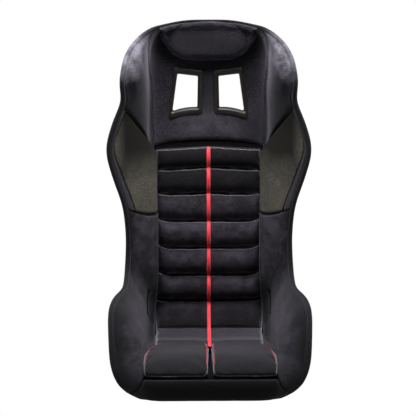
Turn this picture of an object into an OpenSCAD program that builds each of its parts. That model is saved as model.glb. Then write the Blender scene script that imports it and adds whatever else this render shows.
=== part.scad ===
// Fixed-back racing seat: a one-piece moulded shell with head wings and hip wings,
// foam and velour covers glued into it, and loose cushions held on by hook-and-loop tape.
//
// Frame: the origin is the middle of the flat underside that the seat rests on.
// X is to the sitter's left as seen from the front, so +X is right in a front view,
// +Y is to the back, +Z is up. All sizes are in millimetres.
//
// Every skin, pad and cushion is a layer over one lofted surface. A place on that
// surface is [u, v]: u runs along the seat from the front lip (0) to the top edge (18),
// v runs across it from the left rim (-1) over the middle (0) to the right rim (1).

/* [Shell] */
// Height from the ground to the top edge of the shell
seat_h = 906; // [900:1:915]
// Width over the shoulders, rim to rim
shoulder_w = 564; // [556:1:570]
// Width over the hip wings, rim to rim
hip_w = 532; // [526:1:538]
// Width at the waist, rim to rim
waist_w = 464; // [458:1:470]
// Width over the head wings, rim to rim
head_w = 482; // [476:1:488]
// Thickness of the moulded shell
shell_t = 5; // [4.5:0.5:5.5]
// How far the two stiffening ribs stand out of the back
rib_h = 8; // [5:1:10]

/* [Covers and cushions] */
// Foam and velour on the upper back
cover_t = 10; // [8:1:12]
// Lining under the cushions
lining_t = 3; // [2:0.5:4]
// Depth of a sewn channel, as a share of the cushion's depth
channel_depth = 0.30; // [0.2:0.05:0.4]
// Width of the coloured stripe
stripe_w = 10; // [8:1:14]
// Thickness of the coloured stripe
stripe_t = 1.6; // [1.2:0.2:2]

/* [Belt slots] */
// Corner radius of the shoulder belt slots
slot_r = 4; // [3:0.5:6]
// Width of the slot surround at its outer side
surround_w = 10; // [9:0.5:12]
// Length of the lap belt slots
lap_l = 74; // [66:1:78]
// Width of the lap belt slots
lap_w = 22; // [18:1:24]
// Length of the crotch strap slot
crotch_l = 60; // [54:1:64]
// Width of the crotch strap slot
crotch_w = 20; // [16:1:24]

/* [Side mounts] */
// Distance between the two threaded inserts of a side
mount_pitch = 290; // [286:1:292]
// Height of the threaded inserts
mount_z = 90; // [88:1:94]
// Distance of the flat mounting pads from the middle plane
mount_x = 214; // [213:0.5:215]
// Tapping hole of the M8 thread
tap_d = 6.8; // [6.6:0.1:6.8]

/* [Hidden] */

hip = hip_w / 2;
waist = waist_w / 2;
shoulder = shoulder_w / 2;
head = head_w / 2;
// Stations of the shell's inner face, from the lip to the top edge. The columns are:
// floor y, floor z, half-width of the floor, rim x, rim y, rim z, lean of the wall,
// depth of the padding on the floor, depth of the padding on the walls,
// and the place v of the cushions' edge.
STATIONS = [
  [-365,  28, 150, hip - 80, -362,  31, 0.5,  8,  6, 0.50],
  [-380,  60, 175, hip - 36, -362,  60, 0.4, 30, 12, 0.53],
  [-358,  92, 192, hip - 10, -343, 110, 0.2, 44, 18, 0.53],
  [-280,  78, 203, hip -  3, -302, 178, 0.0, 46, 22, 0.46],
  [-200,  50, 205, hip,      -240, 222, 0.0, 44, 24, 0.40],
  [-120,  24, 205, hip -  8, -165, 224, 0.0, 38, 24, 0.37],
  [ -40,   5, 205, hip - 27,  -70, 211, 0.0, 34, 24, 0.37],
  [  48,   5, 204, waist + 4,   0, 230, 0.1, 36, 24, 0.385],
  [ 110,  55, 193, waist + 1,  22, 280, 0.3, 40, 26, 0.445],
  [ 130, 150, 170, waist,      32, 338, 0.3, 42, 24, 0.525],
  [ 156, 290, 160, waist + 8,  40, 421, 0.3, 40, 24, 0.575],
  [ 192, 430, 162, shoulder - 15, 46, 509, 0.3, 38, 24, 0.55],
  [ 226, 560, 168, shoulder,   52, 585, 0.3, 34, 24, 0.51],
  [ 248, 650, 172, shoulder - 21, 72, 661, 0.3, 12, 20, 0.51],
  [ 260, seat_h - 186, 172, head -  3,  82, seat_h - 190, 0.3, 12, 20, 0.51],
  [ 266, seat_h - 121, 170, head,       78, seat_h - 131, 0.3, 30, 26, 0.51],
  [ 266, seat_h -  61, 160, head - 19, 135, seat_h -  61, 0.3, 30, 26, 0.51],
  [ 260, seat_h -  22, 130, head - 74, 215, seat_h -  21, 0.4, 20, 16, 0.51],
  [ 252, seat_h -   3,  70, head - 146, 248, seat_h -  7, 0.5,  8,  6, 0.51],
];
LAST = len(STATIONS) - 1;
// Lowest height of the shell's inner face, which makes the underside flat at z = 0
ground = shell_t;
// Fillet radius between floor and wall, on the shell and on the padding
shell_fillet = 55;
pad_fillet = 38;
// Depth of the padding at the rim
rim_pad = 7;
// Depth at which the covers begin, a glue line over the shell
under = 0.8;
// Place v at which the covers end, just inside the rim
edge_v = 0.992;
// Step of the finite differences that give the surface's directions
step = 0.01;

// Seams of the back cushion's channels, as places u from the crease to the top
CHANNELS = [6.75, 8.45, 9.15, 9.72, 10.26, 10.80, 11.31, 11.82];
// Ends of the seat cushion and of the leg cushions
seat_rear = 6.70;
seat_front = 5.30;
leg_front = 1.74;
// Size of the rounded corners of these cushions, along and across the seat
corner_u = 0.16;
corner_v = 0.026;
// Front end of the stripe
stripe_front = 4.0;
// Where the lip cover ends in the middle, where it meets the rim, and the corner between
lip_end = 1.66;
lip_rim_end = 0.60;
lip_corner_v = 0.54;
// Seam between hip bolster and waist bolster
waist_seam = 8.35;
// Seam below the shoulder panel, at the cushion and its slope towards the rim
panel_low = 10.41;
panel_low_v = 0.586;
panel_slope = 1.31;
// Seam above the shoulder panel: from the cushion's corner up to the rim
panel_top = 11.72;
panel_rise = 1.90;
panel_in_v = 0.53;
// Inner edge of the band that runs outside the shoulder panel: it comes closest to the
// rim at band_u, and runs inwards below and above that
band_u = 12.2;
BAND_ENDS = [10, 13.4];
band_v = 0.980;
band_in = 0.042;
band_out = 0.011;
// Crease beside the head wing: where it meets the rim, where it begins to bend outwards,
// and how far it has gone outwards at the rim
wing_top = 17.25;
wing_bend = 14;
wing_out = 0.36;
// Head cushion: its lower end, how much that bows up at its sides, its upper end, and its
// half-width at the lower end with the two widenings that it has at the upper end
head_low = 15.07;
head_bow = 0.25;
head_end = 17.92;
HEAD_V = [0.30, 0.40, 0.23];

// Centres of the corner arcs of the left shoulder belt slot, as [x, z]: outer top, outer
// bottom, inner bottom, inner top. The lower edge bows upwards.
SLOT = [[-86.6, 743.6], [-100.8, 644.7], [-36.4, 654.5], [-34.6, 737.5]];
slot_bow = 3;
// Thickness of the surround's tube, and how much wider the surround is than at its outer
// side: towards the middle, and above and below at half the slot's height
surround_t = 4.2;
surround_in = 5;
surround_tall = 8;
slot_half_h = 50;
// Middle and tilt of the left lap belt slot, seen from the side
lap_y = 46;
lap_z = 112;
lap_tilt = 22;
// Distances from the middle plane between which the lap belt slot has its edging, and
// the thickness of the rubber edgings
LAP_EDGING_X = [190, 213];
edging_t = 1.6;
// Middle of the crotch strap slot
crotch_y = -102;
// How far the cutters of the belt slots reach, well past the shell on both sides
cut_reach = 40;
lap_cut_x = 270;
// Extent of the flat mounting pads, as [front y, rear y] and [low z, high z], and how
// far they stand out of the shell at most
PAD_Y = [-245, 106];
PAD_Z = [62, 116];
pad_reach = 22;
// Middle of the threaded inserts along the seat
mount_y = -70;
// Sizes of a threaded insert: body, length and the clearance in the foam
insert_d = 16;
insert_l = 18;
foam_clear = 1;
// Thickness and width of the hook-and-loop tape
tape_t = 1.6;
tape_w = 24;
// Depth of the cushions' undersides over the shell
cushion_low = lining_t + tape_t + 0.2;

// ---------------------------------------------------------------- the lofted surface

function at_station(i, col) = STATIONS[max(0, min(LAST, i))][col];

// Smooth run through one column of the stations
function run(u, col) =
  let (i = min(LAST - 1, max(0, floor(u))), t = u - i,
       a = at_station(i - 1, col), b = at_station(i, col),
       c = at_station(i + 1, col), d = at_station(i + 2, col))
  0.5 * (2 * b + (c - a) * t + (2 * a - 5 * b + 4 * c - d) * t * t
         + (3 * b - a - 3 * c + d) * t * t * t);

function inside(u) = max(0, min(LAST, u));
function floor_y(u) = run(u, 0);
function floor_z(u) = max(ground, run(u, 1));
function bezier(a, b, c, t) = (1 - t) * (1 - t) * a + 2 * t * (1 - t) * b + t * t * c;

// Half of a cross-section: flat floor, filleted corner, and a wall that flares to the
// rim. It gives [x, share of the way from the floor line to the rim].
function section(v, w, rim_x, lean, fillet) =
  let (wall = w + lean * (rim_x - w), mid = (w + wall) / 2, s = 3 * v)
  s < 1 ? [(w - fillet) * s, 0] :
  s < 2 ? [bezier(w - fillet, w, mid, s - 1), bezier(0, 0, 0.25, s - 1)] :
          [bezier(mid, wall, rim_x, s - 2), bezier(0.25, 0.5, 1, s - 2)];

// Point on the inner face of the shell
function skin(u, v) =
  let (w = run(u, 2), base = [floor_y(u), floor_z(u)], rim = [run(u, 4), run(u, 5)],
       c = section(abs(v), w, run(u, 3), run(u, 6), min(shell_fillet, 0.6 * w)),
       yz = base + (rim - base) * c[1])
  [(v < 0 ? -1 : 1) * c[0], yz[0], yz[1]];

// Point on the sitter's side of the padding
function padded(u, v) =
  let (w = run(u, 2), base = [floor_y(u), floor_z(u)], rim = [run(u, 4), run(u, 5)],
       u0 = inside(u - 2 * step), u1 = inside(u + 2 * step),
       along = [floor_y(u1) - floor_y(u0), floor_z(u1) - floor_z(u0)],
       up = [-along[1], along[0]] / norm(along),
       wall = [run(u, 3) - (w + run(u, 6) * (run(u, 3) - w)), (rim - base) * up / 2],
       lean_in = wall / norm(wall),
       pad_base = base + up * run(u, 7),
       pad_rim = rim + up * rim_pad * lean_in[0],
       pad_w = w - run(u, 8),
       c = section(abs(v), pad_w, run(u, 3) - rim_pad * lean_in[1], run(u, 6),
                   min(pad_fillet, 0.6 * pad_w)),
       yz = pad_base + (pad_rim - pad_base) * c[1])
  [(v < 0 ? -1 : 1) * c[0], yz[0], yz[1]];

// Full depth of the padding, and a point at a depth over the shell
function depth(u, v) = norm(padded(u, v) - skin(u, v));
function layer(u, v, d) =
  let (a = skin(u, v), b = padded(u, v))
  a + (b - a) * (d / norm(b - a));

// Direction square to the shell, towards the sitter. Near the top edge, where the
// surface closes, it keeps the direction that it has a little lower.
function square_to(u_at, v) =
  let (u = min(u_at, LAST - 0.6),
       du = skin(inside(u + step), v) - skin(inside(u - step), v),
       dv = skin(u, min(1, v + step)) - skin(u, max(-1, v - step)),
       n = cross(dv, du))
  n / norm(n);

// Stiffening ribs on the outside of the back: 1 on the crest, 0 beside it
function rib(u, v) =
  let (run_out = min(1, max(0, u - 8.6), max(0, 12.2 - u) * 2))
  abs(abs(v) - 0.20) < 0.03 ? run_out : 0;

// Point on the outside of the shell, with the flat underside and the mounting pads
function outside(u, v) =
  let (p = skin(u, v) - square_to(u, v) * (shell_t + rib_h * rib(u, v)),
       on_pad = abs(p[0]) > mount_x - pad_reach && p[1] > PAD_Y[0] && p[1] < PAD_Y[1]
                && p[2] > PAD_Z[0] && p[2] < PAD_Z[1])
  [on_pad ? sign(v) * max(abs(p[0]), mount_x) : p[0], p[1], max(0, p[2])];

// ---------------------------------------------------------------- shared solids

function lerp(a, b, t) = a + (b - a) * t;

// Triangles of a closed slab whose upper and lower faces are grids of rows x cols
function slab_faces(rows, cols) =
  let (w = cols + 1, n = (rows + 1) * w)
  concat(
    [for (i = [0:rows - 1], j = [0:cols - 1], k = [0, 1])
      let (a = i * w + j) k == 0 ? [a, a + w + 1, a + 1] : [a, a + w, a + w + 1]],
    [for (i = [0:rows - 1], j = [0:cols - 1], k = [0, 1])
      let (a = n + i * w + j) k == 0 ? [a, a + 1, a + w + 1] : [a, a + w + 1, a + w]],
    [for (i = [0:rows - 1], k = [0, 1])
      let (a = i * w) k == 0 ? [a + n, a + w, a] : [a + n, a + w + n, a + w]],
    [for (i = [0:rows - 1], k = [0, 1])
      let (a = i * w + cols) k == 0 ? [a + n, a, a + w] : [a + n, a + w, a + w + n]],
    [for (j = [0:cols - 1], k = [0, 1])
      let (a = j) k == 0 ? [a + n, a + 1, a + 1 + n] : [a + n, a, a + 1]],
    [for (j = [0:cols - 1], k = [0, 1])
      let (a = rows * w + j) k == 0 ? [a + n, a + 1 + n, a + 1] : [a + n, a + 1, a]]);

// Layer of padding over a patch of the surface. at(s, t) gives the place [u, v], and
// low and high give the depths of its two faces as functions of (s, t, u, v).
module padding(rows, cols, at, low, high) {
  places = [for (i = [0:rows], j = [0:cols])
    let (s = i / rows, t = j / cols, p = at(s, t)) [s, t, p[0], p[1]]];
  top = [for (p = places) layer(p[2], p[3], high(p[0], p[1], p[2], p[3]))];
  bottom = [for (p = places) layer(p[2], p[3], low(p[0], p[1], p[2], p[3]))];
  polyhedron(points = concat(top, bottom), faces = slab_faces(rows, cols));
}

// Layer over a patch of the left side. at(s, t) gives places with v above 0, and t runs
// outwards to the rim.
module left_padding(rows, cols, at, low, high) {
  padding(rows, cols,
    function(s, t) let (p = at(s, 1 - t)) [p[0], -p[1]],
    function(s, t, u, v) low(s, 1 - t, u, v),
    function(s, t, u, v) high(s, 1 - t, u, v));
}

// Closed ring: rings is a list of loops of points, each with as many points as the next
module ring_solid(rings) {
  n = len(rings);
  m = len(rings[0]);
  polyhedron(
    points = [for (r = rings) each r],
    faces = [for (i = [0:n - 1], j = [0:m - 1], k = [0, 1])
      let (i1 = (i + 1) % n, j1 = (j + 1) % m)
      k == 0 ? [i * m + j, i1 * m + j1, i1 * m + j] : [i * m + j, i * m + j1, i1 * m + j1]]);
}

// Convex outline with round corners: arcs of radius r about the centres c, as [x, y]
function outline(c, r, arc = 3) =
  let (n = len(c))
  [for (i = [0:n - 1])
    let (a = c[(i + n - 1) % n], b = c[i], d = c[(i + 1) % n],
         a0 = atan2(b[1] - a[1], b[0] - a[0]) - 90,
         turn = (atan2(d[1] - b[1], d[0] - b[0]) - 90 - a0 + 720) % 360)
    for (k = [0:arc - 1])
      let (at = a0 + turn * k / (arc - 1)) b + r * [cos(at), sin(at)]];

// Outline of the left shoulder belt slot, grown by a distance
function slot_outline(grow) =
  let (p = outline(SLOT, slot_r + grow), low = [p[5], p[6]])
  [for (i = [0:len(p) - 1]) each i != 5 ? [p[i]] :
    concat([p[5]], [for (k = [1:3]) lerp(low[0], low[1], k / 4) + [0, slot_bow * k * (4 - k) / 4]])];
// The same for the face of the surround, which is wider on three sides
function surround_outline(grow) =
  let (wide = max(0, grow - surround_t) / (surround_w - surround_t))
  [for (p = slot_outline(grow))
    p + wide * [p[0] > slot_mid[0] ? surround_in : 0, surround_tall * (p[1] - slot_mid[2]) / slot_half_h]];

function tape_centres(l, w) = [for (p = [[1, 1], [-1, 1], [-1, -1], [1, -1]])
  [p[0] * (l / 2 - w / 2 + 0.5), p[1] * 0.5]];

// Swelling of a pad towards its edge: 1 in the middle, low at the edge
function crown(t, low, p = 0.5) = low + (1 - low) * pow(max(0, sin(180 * t)), p);
// Spacing that is closer at both ends
function eased(t) = (1 - cos(180 * t)) / 2;
// Rounding of one edge: rises from low at t = 0 to 1 at t = width
function shoulder_of(t, width, low) = t >= width ? 1 :
  low + (1 - low) * sqrt(1 - pow(1 - t / width, 2));

// Edge of the cushions, and the inner edge of the bolsters beside them
function cushion_v(u) = run(u, 9);
function bolster_v(u) = cushion_v(min(u, panel_top)) + 0.01;
// Seams that bound the covers
function panel_top_u(v) = panel_top + panel_rise * pow(max(0, (v - panel_in_v) / (1 - panel_in_v)), 1.7);
function band_edge(u) = u > band_u ? band_v - band_out * (u - band_u) :
  band_v - band_in * pow((band_u - u) / (band_u - BAND_ENDS[0]), 1.5);
function panel_low_u(v) = panel_low - panel_slope * (v - panel_low_v);
function lip_u(v) = v < lip_corner_v ? lip_end :
  lerp(lip_end, lip_rim_end, (v - lip_corner_v) / (1 - lip_corner_v));
function crease_v(u) = panel_in_v + 0.02 * (u - panel_top)
  + wing_out * pow(max(0, u - wing_bend) / (wing_top - wing_bend), 1.9);

// ---------------------------------------------------------------- cutters

// Place on the floor of the back at a height z, found from a first guess by three steps
function u_at_z(z, u = 13.5, n = 4) = n == 0 ? u :
  u_at_z(z, u + (z - floor_z(u)) / (floor_z(u + 0.5) - floor_z(u - 0.5)), n - 1);

// Tilt of the upper back where the shoulder belt slots are
slot_tilt = atan2(floor_y(14.4) - floor_y(13), floor_z(14.4) - floor_z(13));
slot_mid = [-66, floor_y(13.7), floor_z(13.7)];

// Prism through the shoulder belt slot, square to the upper back
module slot_cut(grow) {
  translate(slot_mid) rotate([-slot_tilt, 0, 0]) rotate([90, 0, 0])
    translate([0, 0, -cut_reach]) linear_extrude(2 * cut_reach) polygon([for (p = slot_outline(grow))
      [p[0] - slot_mid[0], (p[1] - slot_mid[2]) / cos(slot_tilt)]]);
}

module both_sides() {
  children();
  mirror([1, 0, 0]) children();
}

// Prism through the lap belt slot, square to the side
module lap_cut(grow, from = -lap_cut_x, to = cut_reach - lap_cut_x + 100) {
  translate([from, lap_y, lap_z]) rotate([-lap_tilt, 0, 0]) rotate([90, 0, 90])
    linear_extrude(to - from)
      polygon([for (p = outline(tape_centres(lap_l, lap_w), lap_w / 2 - 0.5 + grow)) [p[1], p[0]]]);
}

// Prism through the crotch strap slot
module crotch_cut(grow) {
  translate([0, crotch_y, -cut_reach]) linear_extrude(3 * cut_reach)
    polygon(outline(tape_centres(crotch_l, crotch_w), crotch_w / 2 - 0.5 + grow));
}

// Holes for the threaded inserts of the left side
module insert_cut(d, from, to) {
  for (y = [-mount_pitch / 2, mount_pitch / 2])
    translate([from, mount_y + y, mount_z]) rotate([0, 90, 0])
      cylinder(d = d, h = to - from, $fn = 24);
}

// ---------------------------------------------------------------- the pieces

// Places u along the shell, close where it curves: over the lip and up the heel
SHELL_U = concat([for (i = [0:7]) i / 4], [for (i = [4:11]) i / 2],
                 [for (i = [24:35]) i / 4], [for (i = [18:36]) i / 2]);
// Places v across the shell: close in the corners, and at the ribs' edges on the floor
SHELL_V = concat([for (i = [0:8]) -1 + i / 12], [-0.235, -0.20, -0.165, 0.165, 0.20, 0.235],
                 [for (i = [4:12]) i / 12]);

module shell_body() {
  places = [for (u = SHELL_U, v = SHELL_V) [u, v]];
  polyhedron(points = concat([for (p = places) skin(p[0], p[1])],
                             [for (p = places) outside(p[0], p[1])]),
             faces = slab_faces(len(SHELL_U) - 1, len(SHELL_V) - 1));
}

module shell() {
  color("#1b1b1d") difference() {
    shell_body();
    both_sides() {
      slot_cut(surround_t + 0.2);
      lap_cut(2);
      insert_cut(insert_d, -mount_x - 10, -mount_x + 40);
    }
    crotch_cut(2);
  }
}

// Places u along a side of the rim, close round the hip wing
RIM_U = concat([for (i = [0:26]) i / 3], [for (i = [18:36]) i / 2]);
// Closed run of places round the whole rim, from the middle of the lip to the right
RIM = concat(
  [for (v = [0, 0.3, 0.45, 0.6, 0.75, 0.88]) [0, v]],
  [for (u = RIM_U) [u, 1]],
  [for (v = [0.8, 0.6, 0.3, 0, -0.3, -0.6, -0.8]) [LAST, v]],
  [for (i = [len(RIM_U) - 1:-1:0]) [RIM_U[i], -1]],
  [for (v = [-0.88, -0.75, -0.6, -0.45, -0.3]) [0, v]]);
// Section of the trim: [outwards from the edge, towards the sitter]
TRIM = [[0.6, 8.6], [0.6, -6.2], [-11, -6.2], [-11, -7.6], [3.4, -7.6], [6.8, -1], [5.2, 7.0]];

module rim_trim() {
  n = len(RIM);
  color("#2a282d") ring_solid([for (i = [0:n - 1])
    let (p = skin(RIM[i][0], RIM[i][1]), a = skin(RIM[(i + n - 1) % n][0], RIM[(i + n - 1) % n][1]),
         b = skin(RIM[(i + 1) % n][0], RIM[(i + 1) % n][1]),
         n0 = square_to(RIM[i][0], RIM[i][1]),
         t = (b - p) / norm(b - p) + (p - a) / norm(p - a),
         o0 = cross(t, n0), o = o0 / norm(o0))
    [for (q = TRIM) p + o * q[0] + n0 * q[1]]]);
}

// Rows of the lining lie on rows of the shell, so that the two fit closely
LINING_U = concat([lip_end + 0.02], [for (u = SHELL_U) if (u > 1.9 && u < 11.8) u],
                  [CHANNELS[7] + 0.02]);
// Columns of the lining as shares of the way from the corner of the floor to its edge
LINING_COLS = [1, 2 / 3, 1 / 3, 0];
function lining_v(u, j) = j < 4 ? -lerp(1 / 3, cushion_v(u), LINING_COLS[j]) : -lining_v(u, 7 - j);

module lining() {
  rows = len(LINING_U) - 1;
  color("#1c1a1e") difference() {
    padding(rows, 7,
      function(s, t) let (u = LINING_U[round(s * rows)]) [u, lining_v(u, round(7 * t))],
      function(s, t, u, v) under,
      function(s, t, u, v) lining_t);
    crotch_cut(2);
  }
}

module front_lip_cover() {
  color("#1c191f") padding(8, 18,
    function(s, t) let (v = edge_v * (2 * t - 1)) [lerp(0.03, lip_u(abs(v)), s), v],
    function(s, t, u, v) under,
    function(s, t, u, v) depth(u, v) * shoulder_of(1 - s, 0.2, 0.75) * 0.9);
}

// Left bolster between the seams u0(v) and u1(v), from the cushions to the rim
module bolster(rows, cols, u0, u1) {
  v0 = bolster_v(u0(0.5));
  v1 = bolster_v(u1(0.58));
  left_padding(rows, cols,
    function(s, t) let (u = lerp(u0(lerp(v0, edge_v, t)), u1(lerp(v1, edge_v, t)), s))
      [u, lerp(bolster_v(u), edge_v, t)],
    function(s, t, u, v) under,
    function(s, t, u, v) depth(u, v) * shoulder_of(t, 0.2, 0.78)
      * shoulder_of(s, 0.06, 0.92) * shoulder_of(1 - s, 0.06, 0.92));
}

module hip_bolster() {
  color("#44434a") difference() {
    bolster(16, 8, function(v) lip_u(v) + 0.02, function(v) waist_seam - 0.01);
    lap_cut(2);
    insert_cut(insert_d + 2 * foam_clear, -mount_x - 10, -mount_x + insert_l + foam_clear);
  }
}

module waist_bolster() {
  color("#3a3940") bolster(7, 8, function(v) waist_seam + 0.01, function(v) panel_low_u(v) - 0.02);
}

module shoulder_panel() {
  v0 = bolster_v(panel_low);
  color("#3f3f3c") left_padding(8, 7,
    function(s, t) let (low = lerp(v0, band_edge(BAND_ENDS[0]), t),
                        high = lerp(panel_in_v, band_edge(BAND_ENDS[1]), t),
                        u = lerp(panel_low_u(low) + 0.02, panel_top_u(high) - 0.01, s))
      [u, lerp(bolster_v(u), band_edge(u), t)],
    function(s, t, u, v) under,
    function(s, t, u, v) depth(u, v) * shoulder_of(t, 0.2, 0.8)
      * shoulder_of(s, 0.06, 0.92) * shoulder_of(1 - s, 0.06, 0.92));
}

module shoulder_band() {
  color("#35343a") left_padding(14, 1,
    function(s, t)
      let (low = lerp(band_edge(BAND_ENDS[0]), edge_v, t),
           high = lerp(band_edge(BAND_ENDS[1]), edge_v, t),
           u = lerp(panel_low_u(low) + 0.02, panel_top_u(high) - 0.01, s))
      [u, lerp(band_edge(u) + 0.004, edge_v, t)],
    function(s, t, u, v) under,
    function(s, t, u, v) depth(u, v));
}

module upper_back_cover() {
  low_u = CHANNELS[7] + 0.03;
  color("#1d1b20") difference() {
    padding(13, 8,
      function(s, t) let (u = lerp(low_u, LAST - 0.08, s))
        [u, min(edge_v, crease_v(u) - 0.004) * (2 * t - 1)],
      function(s, t, u, v) under,
      function(s, t, u, v) min(cover_t, depth(u, v)));
    both_sides() slot_cut(surround_t + 0.4);
  }
}

module head_wing_pad() {
  top = wing_top - 0.15;
  color("#57545c") left_padding(11, 7,
    function(s, t) let (c = crease_v(lerp(panel_top, top, s)) + 0.004,
                        u = lerp(panel_top_u(lerp(panel_in_v, 1, t)) + 0.01, top, s))
      [u, lerp(c, edge_v, t)],
    function(s, t, u, v) under,
    function(s, t, u, v) depth(u, v) * shoulder_of(t, 0.25, 0.6)
      * shoulder_of(s, 0.08, 0.9));
}

// Side edge of the bib-shaped head cushion, and its lower edge
function head_side(u) =
  let (low = head_low + head_bow - 0.02, f = max(0, u - low) / (wing_top - low))
  min(0.95, HEAD_V[0] + HEAD_V[1] * f + HEAD_V[2] * pow(f, 6));
function head_bottom(x) = head_low + head_bow * pow(x, 4);
// Depth of the head cushion's underside, on its tape
function head_under(u, v) = min(cover_t, depth(u, v)) + tape_t + 0.8;

module head_cushion() {
  color("#2e2c32") padding(10, 14,
    function(s, t) let (x = -cos(180 * t), u = lerp(head_bottom(abs(x)), head_end, s))
      [u, x * head_side(u)],
    function(s, t, u, v) head_under(u, v),
    function(s, t, u, v) head_under(u, v)
      + max(2, depth(u, v) - head_under(u, v)) * crown(t, 0.35, 0.45)
        * shoulder_of(s, 0.25, 0.4) * shoulder_of(1 - s, 0.25, 0.5));
}

channel_rows = 4;

// Share of the full depth along a channel: full in the middle, drawn in at both seams
function channel(sigma) = 1 - channel_depth + channel_depth * pow(max(0, sin(180 * sigma)), 0.6);
function channel_place(s) =
  let (k = min(6, floor(s * 7 + 0.001)), f = s * 7 - k) [lerp(CHANNELS[k], CHANNELS[k + 1], f), f];
// Sides of the back cushion are drawn in a little at every seam
function back_edge(s, u) = cushion_v(u) - 0.012 + 0.012 * channel(channel_place(s)[1]);
function back_top(s, t, u, v) =
  cushion_low + (depth(u, v) - cushion_low) * channel(channel_place(s)[1]) * crown(t, 0.5, 0.35)
    * shoulder_of(s, 0.03, 0.8) * shoulder_of(1 - s, 0.03, 0.7);

module back_cushion() {
  color("#2b292e") padding(7 * channel_rows, 12,
    function(s, t) let (u = channel_place(s)[0]) [u, -cos(180 * t) * back_edge(s, u)],
    function(s, t, u, v) cushion_low,
    function(s, t, u, v) back_top(s, t, u, v));
}

// Depth of a crowned cushion on the pan at the shares s and t of its length and width
function pan_top(s, t, u, v) =
  cushion_low + (depth(u, v) - cushion_low) * crown(t, 0.45, 0.4) * crown(s, 0.5, 0.4);

// How far a cushion's side is drawn in near its ends, which rounds its corners
function corner_draw(u, u0, u1) =
  let (near = min(1, min(u - u0, u1 - u) / corner_u))
  corner_v * (1 - sqrt(max(0, 1 - (1 - near) * (1 - near))));

// Crowned cushion on the pan between two places u and two edges v
module pan_cushion(rows, cols, u0, u1, v0, v1) {
  padding(rows, cols,
    function(s, t) let (u = lerp(u0, u1, eased(s)), draw = corner_draw(u, u0, u1))
      [u, lerp(v0(u) + draw, v1(u) - draw, eased(t))],
    function(s, t, u, v) cushion_low,
    function(s, t, u, v) pan_top(s, t, u, v));
}

module seat_cushion() {
  color("#4b494f") pan_cushion(8, 14, seat_front + 0.02, seat_rear,
    function(u) -cushion_v(u), function(u) cushion_v(u));
}

// Half of the gap between the leg cushions: it holds the stripe behind stripe_front,
// is narrow in front of it, and opens towards the lip
function leg_gap(u) = u > stripe_front ? 0.014 :
  lerp(0.020, 0.006, (u - leg_front) / (stripe_front - leg_front));

module leg_cushion() {
  color("#37353b") pan_cushion(14, 10, leg_front, seat_front - 0.02,
    function(u) -cushion_v(u), function(u) -leg_gap(u));
}

// Half-width of a ribbon, in mm, as a place v on the floor
function floor_v(u, x) = x / (3 * (run(u, 2) - shell_fillet));

// Ribbon over the middle of a cushion, on the depth that top(s, u) gives
module stripe(rows, u_of, top, half_w, thick) {
  padding(rows, 1,
    function(s, t) let (u = u_of(s)) [u, floor_v(u, (2 * t - 1) * half_w(s))],
    function(s, t, u, v) top(s, u) + 0.2,
    function(s, t, u, v) top(s, u) + 0.2 + thick);
}

module back_stripe() {
  color("#e0303c") stripe(7 * channel_rows, function(s) channel_place(s)[0],
    function(s, u) back_top(s, 0.5, u, 0), function(s) stripe_w / 2, stripe_t);
}

// The stripe over the seat cushion, and its end that is sewn between the leg cushions
module seat_stripe() {
  color("#e0303c") {
    stripe(12, function(s) lerp(seat_front + 0.04, seat_rear, eased(s)),
      function(s, u) pan_top(s, 0.5, u, 0), function(s) stripe_w / 2, stripe_t);
    stripe(6, function(s) lerp(stripe_front, seat_front - 0.03, s),
      function(s, u) depth(u, 0) * 0.72, function(s) stripe_w / 2 * lerp(0.6, 0.9, s), stripe_t + 3);
  }
}

// Ring round the left shoulder belt slot: section is a list of [outwards, depth]
module slot_ring(section_points) {
  loops = [for (q = section_points) surround_outline(q[0])];
  ring_solid([for (i = [0:len(loops[0]) - 1]) [for (k = [0:len(section_points) - 1])
    let (q = section_points[k], p = loops[k][i], u = u_at_z(p[1]), v = floor_v(u, p[0]))
    skin(u, v) + square_to(u, v) * q[1]]]);
}

module harness_surround() {
  color("#23231f") slot_ring([[0, -7], [surround_t, -7], [surround_t, cover_t + 0.3],
    [surround_w, cover_t + 0.3], [surround_w, cover_t + 2], [surround_w - 1, cover_t + 3.6],
    [surround_t + 1, cover_t + 4.4], [0, cover_t / 2]]);
}

module harness_rear_frame() {
  color("#1a1a1a") slot_ring([[surround_t + 0.3, -5.9], [surround_t + 0.3, -8.8],
    [surround_w - 1, -8.8], [surround_w, -7.8], [surround_w, -5.9]]);
}

// Rubber edging of the lap belt slot: a plain liner through wall and foam
module lap_slot_edging() {
  color("#141414") difference() {
    lap_cut(edging_t, -LAP_EDGING_X[1], -LAP_EDGING_X[0]);
    lap_cut(0);
  }
}

// Rubber edging of the crotch strap slot
module crotch_slot_edging() {
  low = floor_z(5.25) - shell_t - 2;
  color("#141414") difference() {
    translate([0, crotch_y, low]) linear_extrude(shell_t + lining_t + 2)
      polygon(outline(tape_centres(crotch_l, crotch_w), crotch_w / 2 - 0.5 + edging_t));
    crotch_cut(0);
  }
}

module threaded_inserts() {
  color("#b9bcc0") difference() {
    insert_cut(insert_d - 0.2, -mount_x, -mount_x + insert_l);
    insert_cut(tap_d, -mount_x - 1, -mount_x + insert_l - 3);
  }
}

// Tape under a cushion from u0 to u1, with its middle at x
module tape(x, u0, u1, rows, low) {
  padding(rows, 1,
    function(s, t) let (u = lerp(u0, u1, s)) [u, floor_v(u, x + tape_w * (t - 0.5))],
    function(s, t, u, v) low + 0.1,
    function(s, t, u, v) low + tape_t);
}

// Hook-and-loop strips that hold the cushions
module hook_tape_strips() {
  color("#101010") both_sides() {
    tape(-70, 15.6, 16.6, 3, cover_t);
    tape(-70, 9.2, 11.6, 6, lining_t);
    tape(-80, 5.5, 6.3, 3, lining_t);
    tape(-50, 2.4, 4.6, 5, lining_t);
  }
}

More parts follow.
